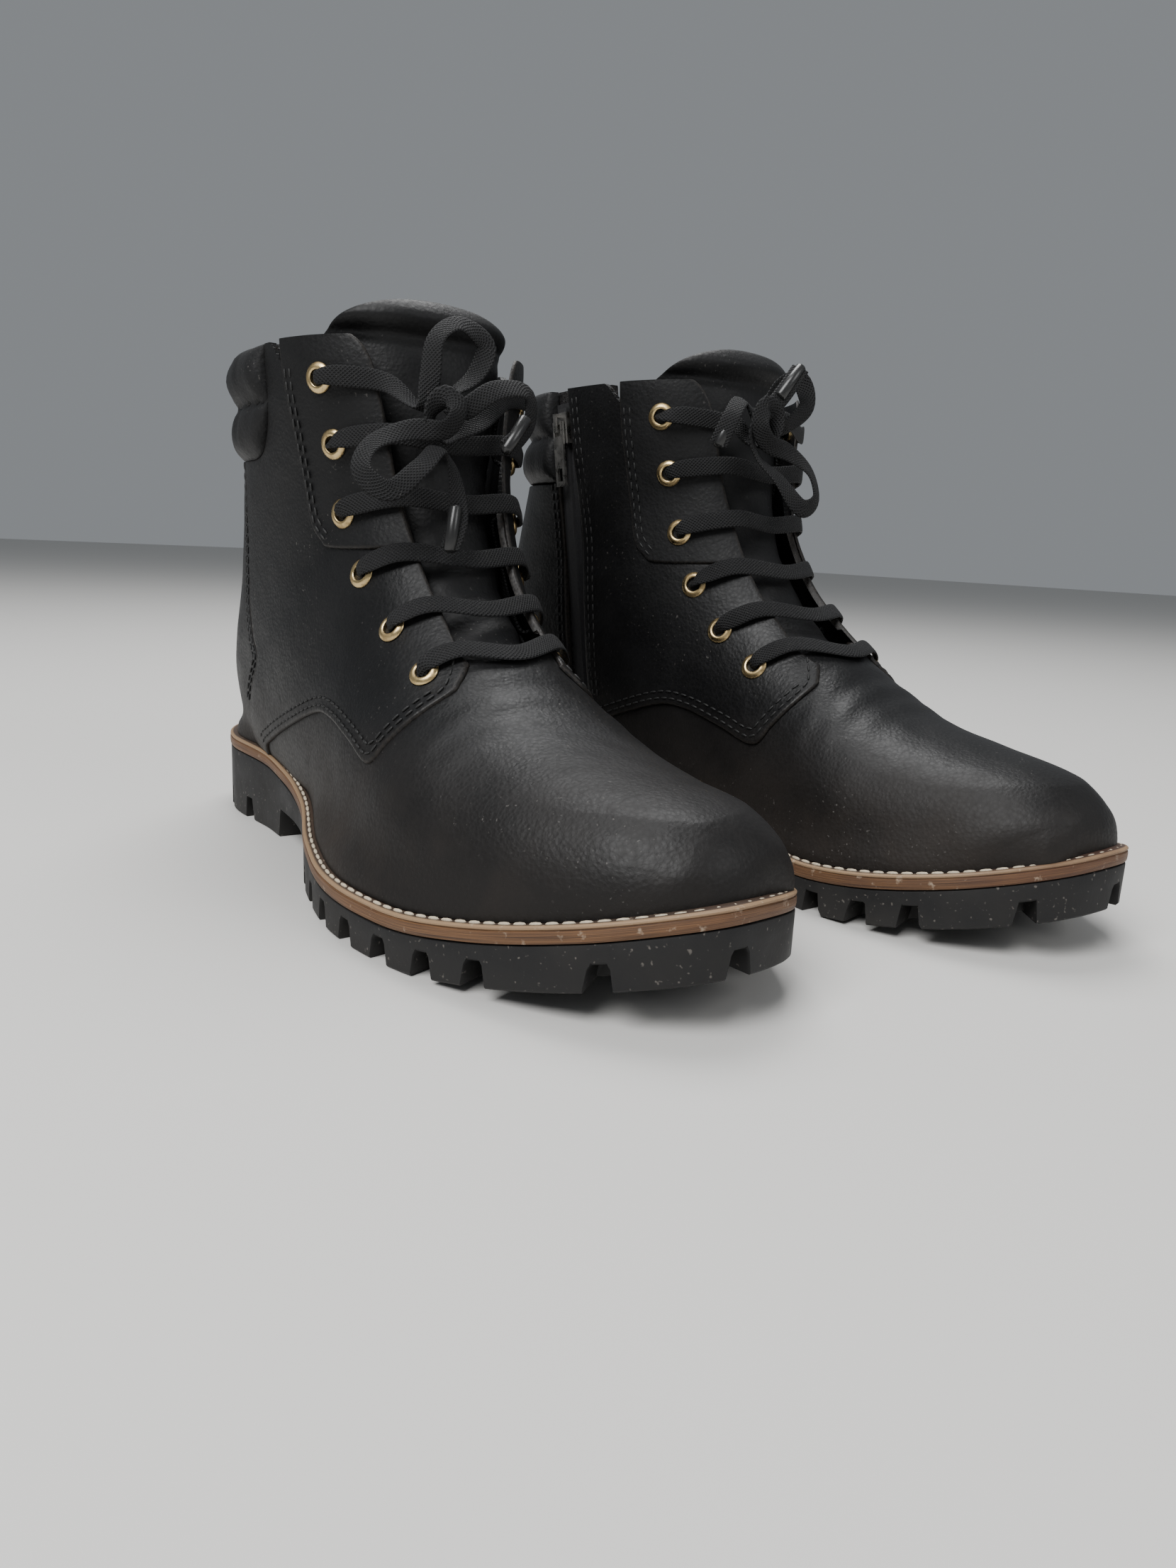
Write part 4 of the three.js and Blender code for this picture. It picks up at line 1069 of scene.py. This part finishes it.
def makeOutsole():
    # side wall and tread as one grid: columns round the rim, rows from the top face's middle out, down the
    # wall, and in under the tread to the middle; a notch pulls the low rows of its columns inwards
    count = sole["columns"]
    ring, out = soleRing(count)
    d = np.arange(count) / count
    length = np.linalg.norm(np.roll(ring, -1, 0) - ring, axis=1).sum()

    def notched(spots, width, share):
        near = np.abs((d[:, None] - np.array(spots)[None] + 0.5) % 1 - 0.5).min(1) * length
        return smooth((width / 2 + 0.45 - near) / 0.9) * share

    fore = notched(sole["forefoot"], sole["notch"], 1)
    heel = notched(sole["heel"], sole["notch"], 1)
    cut = np.maximum(fore, heel)
    y = ring[:, 1]
    start, stop, gapHeight = sole["waist"]
    waist = smooth((y - start) / 3) * smooth((stop - y) / 3)
    tall = np.where(y > 40, 8.5, 7.4)
    low, top = treadHeight(y), rubberTop(y)
    rows = []
    centre = np.array([-4.0, 0.0])

    def row(inward, height):
        # inward moves the rim towards the boot's length line
        if inward > 20:
            share = inward / 100
            spine = np.stack([-4 + 0 * y, np.clip(y, -118, 122)], 1)
            flat = ring * (1 - share) + spine * share
        else:
            flat = ring - out * np.asarray(inward).reshape(-1, 1) if np.ndim(inward) else ring - out * inward
        rows.append(np.concatenate([flat, height[:, None]], 1))

    bottom = low + waist * (gapHeight - low)
    notchTop = np.maximum(bottom, low + cut * tall)
    row(100, top)
    row(2.2, top)
    row(0.5, top)
    row(0.12, top - 0.12)
    row(0.0, top - 0.5)
    row(0.0, top * 0.6 + notchTop * 0.4)
    row(0.0, notchTop + 1.6)
    row(0.0, notchTop + 0.6)
    row(0.5, notchTop)
    row(1.2, notchTop)
    row(10.2, notchTop)
    row(11.0, bottom * 0.5 + notchTop * 0.5)
    row(11.4, bottom + 0.3)
    row(12.4, bottom)
    row(100, bottom + 0 * y)
    points = np.array(rows)
    quads = gridFaces(len(rows), count, ring=True)
    triangles = np.concatenate([quads[:, [0, 1, 2]], quads[:, [0, 2, 3]]])
    values, triangles = welded(points.reshape(-1, 3), triangles)
    a, b, c = (values[triangles[:, k]] for k in range(3))
    if (np.cross(a, b) * c).sum() < 0:
        triangles = triangles[:, ::-1]
    for side in sides:
        makePiece("outsole", side, values, triangles, "rubber", ["outsole"], sharp=35)


makeOutsole()


def makeWelt():
    # a flat ring whose section is a rounded bar, with a groove below its upper line
    count = 720
    ring, out = soleRing(count)
    y = ring[:, 1]
    base = rubberTop(y) + last["gap"]
    wobble = 0.12 * np.sin(np.arange(count) * 0.05) + 0.08 * np.sin(np.arange(count) * 0.21)
    # out from the rim, up from the rubber
    section = [
        (-24, 0.02), (-0.6, 0.02), (-0.12, 0.15), (0.1, 0.6), (0.2, 1.5), (0.2, 2.6), (0.1, 3.35), (-0.25, 3.6),
        (-0.1, 3.85), (0.1, 4.1), (0.05, 4.5), (-0.4, 4.85), (-1.2, 4.9), (-24, 4.9),
    ]
    rows = []
    for across, up in section:
        flat = ring + out * (across + wobble * (across > -2))[:, None]
        if across < -20:
            spine = np.stack([-4 + 0 * y, np.clip(y, -118, 122)], 1)
            flat = ring * 0.62 + spine * 0.38
        rows.append(np.concatenate([flat, (base + up)[:, None]], 1))
    rows.append(rows[0])
    points = np.array(rows)
    length = np.arange(count) / count * 800
    quads = gridFaces(len(rows), count, ring=True)
    triangles = np.concatenate([quads[:, [0, 1, 2]], quads[:, [0, 2, 3]]])
    along = np.broadcast_to(np.abs(length - 400), points.shape[:2]).reshape(-1)
    level = np.concatenate([np.full(count, up) for _, up in [*section, section[0]]])
    stacked = np.column_stack([points.reshape(-1, 3), along, level])
    values, triangles = welded(stacked, triangles)
    a, b, c = (values[triangles[:, k], :3] for k in range(3))
    if (np.cross(a, b) * c).sum() < 0:
        triangles = triangles[:, ::-1]
    for side in sides:
        makePiece(
            "welt", side, values[:, :3], triangles, "welt", ["welt"],
            values={"along": values[:, 3], "level": values[:, 4]}, sharp=40,
        )


makeWelt()
print("sole done")

stitch = {"long": 2.9, "gap": 1.0, "radius": 0.42}


def stitches(name, runs, finish, long=2.9, gap=1.0, radius=0.42, lift=0.12):
    # beads along each run of (point, normal): a six-sided spindle of five rings, its middle widest
    shape = np.array([(-0.5, 0.15), (-0.36, 0.8), (0, 1), (0.36, 0.8), (0.5, 0.15)])
    angle = np.linspace(0, 2 * math.pi, 6, endpoint=False)
    allPoints, allFaces, count = [], [], 0
    quads = gridFaces(5, 6, ring=True)
    triangles = np.concatenate([quads[:, [0, 1, 2]], quads[:, [0, 2, 3]]])
    caps = np.array([(0, k + 1, k) for k in range(1, 5)] + [(24, 24 + k, 25 + k) for k in range(1, 5)])
    faces = np.concatenate([triangles, caps])
    for run in runs:
        run = resample(run, long + gap)
        start = (run[:-1, :3] + run[1:, :3]) / 2
        way = unit(run[1:, :3] - run[:-1, :3])
        normal = unit((run[:-1, 3:6] + run[1:, 3:6]) / 2)
        across = unit(np.cross(normal, way))
        normal = np.cross(way, across)
        start = start + normal * lift
        ring = (
            way[:, None, None] * (shape[:, 0] * long)[None, :, None, None]
            + across[:, None, None] * (shape[:, 1:2] * np.cos(angle) * radius)[None, :, :, None]
            + normal[:, None, None] * (shape[:, 1:2] * np.sin(angle) * radius)[None, :, :, None]
            + start[:, None, None]
        )
        beads = ring.reshape(len(start), 30, 3)
        numbers = faces[None] + (count + 30 * np.arange(len(start)))[:, None, None]
        allPoints.append(beads.reshape(-1, 3))
        allFaces.append(numbers.reshape(-1, 3))
        count += beads.shape[0] * 30
    points, faces = np.vstack(allPoints), np.vstack(allFaces)
    a, b, c = (points[faces[:30, k]] - points[0] for k in range(3))
    if (np.cross(a, b) * c).sum() < 0:
        faces = faces[:, ::-1]
    for side in sides:
        makePiece(name, side, points, faces, finish)


def onSide(line, sign, depth, gap):
    # a line of the side view set gap to its left, found on the sheet: the point there with that y and z
    run = unit(np.gradient(line, axis=0))
    moved = resample(line + np.stack([-run[:, 1], run[:, 0]], 1) * gap, 2.0)
    return fromSide(moved, sign, depth)


sheetSide = {}


def fromSide(line, sign, depth):
    # nearest points of the sheet in the side view, mixed by closeness
    values = wholeSheet[0]
    if sign not in sheetSide:
        sheetSide[sign] = values[(values[:, 7] * sign > 0) & (values[:, 3] * sign > 0.05)]
    near = sheetSide[sign]
    found = []
    for y, z in line:
        far = (near[:, 1] - y) ** 2 + (near[:, 2] - z) ** 2
        k = np.argpartition(far, 8)[:8]
        w = 1 / (far[k] + 0.05)
        mixed = (near[k] * w[:, None]).sum(0) / w.sum()
        found.append(np.r_[mixed[0], y, z, unit(mixed[3:6])])
    found = np.array(found)
    found[:, :3] += found[:, 3:6] * depth
    return found


def makeStitches():
    runs = []
    seam = lines["quarterSeam"]
    low = seam[seam[:, 1] < 84]
    for sign in (-1, 1):
        runs.append(onSide(low[4:-8], sign, 1.35, 2.4))
        runs.append(onSide(low[22:-8], sign, 1.35, 5.0))
        facing = lines["facingBorder"][12:-30]
        for gap in (-2.0, -4.2):
            runs.append(onSide(facing, sign, 2.5, gap))
    heel = lines["heelSeam"]
    runs.append(onSide(heel[3:-14], -1, 1.1, 2.5))
    runs.append(onSide(heel[3:-14], -1, 1.1, 4.9))
    zipLine = np.linspace(zipBottom[1:] + (0, 6), zipTop[1:] + (0, 3), 40)
    for gap in (-8.0, -10.6):
        runs.append(onSide(zipLine, 1, 1.35, gap))
        runs.append(onSide(zipLine, 1, 1.1, -gap))
    edge = lines["openingEdge"]
    stitches("seams", runs, "thread")


makeStitches()


def makeWeltStitches():
    # off-white stitches on the welt, outside the upper's foot, round all but the heel
    ring, out = soleRing(720)
    keep = ring[:, 1] < 70
    start = np.nonzero(keep & ~np.roll(keep, 1))[0][0]
    order = (start + np.arange(keep.sum())) % 720
    flat = (ring - out * 1.9)[order]
    points = np.column_stack([flat, weltTop(flat[:, 1]) + 0.05])
    run = np.column_stack([points, np.tile((0, 0, 1.0), (len(points), 1))])
    stitches("welt_stitches", [run], "weltThread", long=3.7, gap=0.9, radius=0.6)


makeWeltStitches()
print("stitches done")

eyelet = {
    # out from the middle, up from the leather
    "profile": [
        (2.5, -2.2), (2.5, 0.55), (2.62, 0.98), (3.0, 1.2), (3.5, 1.15), (4.1, 0.85), (4.6, 0.42), (4.85, 0.1),
        (4.85, -0.06), (4.6, -0.1), (3.1, -0.1), (3.0, -2.2),
    ],
    "sides": 40,
}


def makeEyelets():
    # the profile turned round the hole's axis, standing on the leather there
    profile = np.array(eyelet["profile"])
    angle = np.linspace(0, 2 * math.pi, eyelet["sides"], endpoint=False)
    n, m = len(profile), eyelet["sides"]
    profile = np.vstack([profile, profile[:1]])
    quads = gridFaces(n + 1, m, ring=True)
    quads = np.where(quads >= n * m, quads - n * m, quads)
    for word, sign in (("lateral", -1), ("medial", 1)):
        for k, (t, u) in enumerate(eyeletSpots[sign]):
            t, u = np.array(t), np.array(u)
            normal, centre = upperNormal(t, u), upper(t, u)
            seat = (2.5 if k >= 3 else 1.35) + 0.25
            first = unit(np.cross(normal, (0.0, 0.3, 1.0)))
            second = np.cross(normal, first)
            r = profile[:-1, 0][:, None, None]
            h = profile[:-1, 1][:, None, None] + seat
            c, s = np.cos(angle)[None, :, None], np.sin(angle)[None, :, None]
            points = (centre + r * (c * first + s * second) + h * normal).reshape(-1, 3)
            a, b, d = (points[quads[:, j]] - centre for j in range(3))
            faces = quads if (np.cross(a, b) * d).sum() > 0 else quads[:, ::-1]
            for side in sides:
                name = f"eyelet_{word}_{k + 1}"
                makePiece(name, side, points, faces, "eyelet", [name], sharp=40)


makeEyelets()
print("eyelets done")


def bowNormals(line, out):
    # the flat side leans from facing out towards facing along the loop's radius, by a slow sine
    across = unit(np.cross(unit(np.gradient(line, axis=0)), out))
    lean = 0.95 * np.sin(0.9 * np.arange(len(line)) + 0.4)
    return unit(out + across * lean[:, None])


def laceFrames(side):
    # the route as a smooth line with the flat side's normal: the leather's normal in the lacing, and
    # in the bow a normal carried along the line
    origin, axes = bowFrame(side)
    laced = [lacePoint(*row) for row in lace["laced"]]
    first, middle, second = laceRoute(side)
    normals = np.array([n for _, n in laced])
    a, b = (bowNormals(line, axes[2]) for line in (first, second))
    rows = np.vstack([first, middle, second])
    flat = np.vstack([a, normals, b])
    wide = np.full(len(rows), lace["width"])
    for k, (across, level, depth) in enumerate(lace["laced"]):
        if abs(across) == 1 and depth < 5:
            wide[len(first) + k] = lace["throat"]
    rows = np.column_stack([rows, flat, wide])
    return smoothLine(rows, len(rows) * 7)


def makeLace(side):
    # a flat ribbon: a rounded oblong section of twelve points carried along the route
    data = resample(laceFrames(side), 1.5)
    path, wide = data[:, :3], data[:, 6]
    tangent = unit(np.gradient(path, axis=0))
    out = data[:, 3:6] - tangent * (data[:, 3:6] * tangent).sum(1)[:, None]
    across = unit(np.cross(out, tangent))
    for k in range(1, len(across)):
        turned = across[k] if (across[k] * across[k - 1]).sum() >= 0 else -across[k]
        kept = across[k - 1] - tangent[k] * (across[k - 1] * tangent[k]).sum()
        across[k] = turned * 0.25 + kept * 0.75
        across[k] /= max(np.linalg.norm(across[k]), 1e-6)
    out = unit(np.cross(tangent, across))
    angle = np.linspace(0, 2 * math.pi, 14, endpoint=False)
    c, s = np.cos(angle), np.sin(angle)
    x = np.sign(c) * np.abs(c) ** 0.6
    y = np.sign(s) * np.abs(s) ** 0.8
    thick = lace["thickness"] / 2 * np.where(wide < 6, 1.3, 1)
    points = (
        path[:, None]
        + across[:, None] * (x[None] * wide[:, None] / 2)[..., None]
        + out[:, None] * (y[None] * thick[:, None])[..., None]
    )
    n, m = points.shape[:2]
    quads = gridFaces(n, m, ring=True)
    triangles = np.concatenate([quads[:, [0, 1, 2]], quads[:, [0, 2, 3]]])
    flat = points.reshape(-1, 3)
    caps = [np.array([(row * m, row * m + k, row * m + k + 1) for k in range(1, m - 1)]) for row in (0, n - 1)]
    triangles = np.concatenate([triangles, caps[0][:, ::-1], caps[1]])
    run = np.r_[0, np.cumsum(np.linalg.norm(np.diff(path, axis=0), axis=1))]
    a, b, d = (flat[triangles[: 2 * m, k]] - path[0] for k in range(3))
    if (np.cross(a, b) * d).sum() < 0:
        triangles = triangles[:, ::-1]
    along = np.repeat(run, m)
    sideways = np.tile(x, n) * np.repeat(wide, m) / 2
    piece = makePiece(
        "lace", side, flat, triangles, "lace", ["lace"], values={"along": along, "across": sideways}, sharp=80
    )
    for word, ends in (("first", (0, 12)), ("second", (len(path) - 1, len(path) - 13))):
        makeTip(side, word, path[ends[0]], path[ends[1]])
    print(side, "lace", round(run[-1]), "mm")
    return piece


def makeTip(side, word, end, inner):
    # a round tube over the last 14 mm of the lace
    way = unit(end - inner)
    first = unit(np.cross(way, (0.2, 0.1, 1.0)))
    second = np.cross(way, first)
    profile = np.array([(0.3, 2.0), (0.0, 1.9), (-14, 2.0), (-14.4, 1.7)])
    profile = np.array([(1.2, 0.2), (1.0, 1.4), (0.4, 2.0), (-6, 2.1), (-13, 2.2), (-13.5, 1.9), (-13.6, 0.2)])
    angle = np.linspace(0, 2 * math.pi, 16, endpoint=False)
    points = (
        end
        + way * profile[:, 0][:, None, None]
        + (np.cos(angle)[:, None] * first + np.sin(angle)[:, None] * second)[None] * profile[:, 1][:, None, None]
    )
    n, m = points.shape[:2]
    quads = gridFaces(n, m, ring=True)
    triangles = np.concatenate([quads[:, [0, 1, 2]], quads[:, [0, 2, 3]]])
    caps = [np.array([(row * m, row * m + k, row * m + k + 1) for k in range(1, m - 1)]) for row in (0, n - 1)]
    triangles = np.concatenate([triangles, caps[0], caps[1][:, ::-1]])
    flat = points.reshape(-1, 3)
    a, b, d = (flat[triangles[:, k]] - end for k in range(3))
    if (np.cross(a, b) * d).sum() < 0:
        triangles = triangles[:, ::-1]
    return makePiece(f"{word}_lace_tip", side, flat, triangles, "tip")


for side in sides:
    makeLace(side)

# pieces that keep their shape from the part and take a finish
keptFinishes = {
    "shank": "shank", "insole_board": "board", "footbed": "foam", "zip_tape": "zip",
    "zip_slider": "steel", "zip_puller": "steel",
}
for side in sides:
    for node, finish in keptFinishes.items():
        shown = bpy.data.objects[f"{side}_{node}"]
        for place in shown.material_slots:
            place.material = finishes[finish][0]
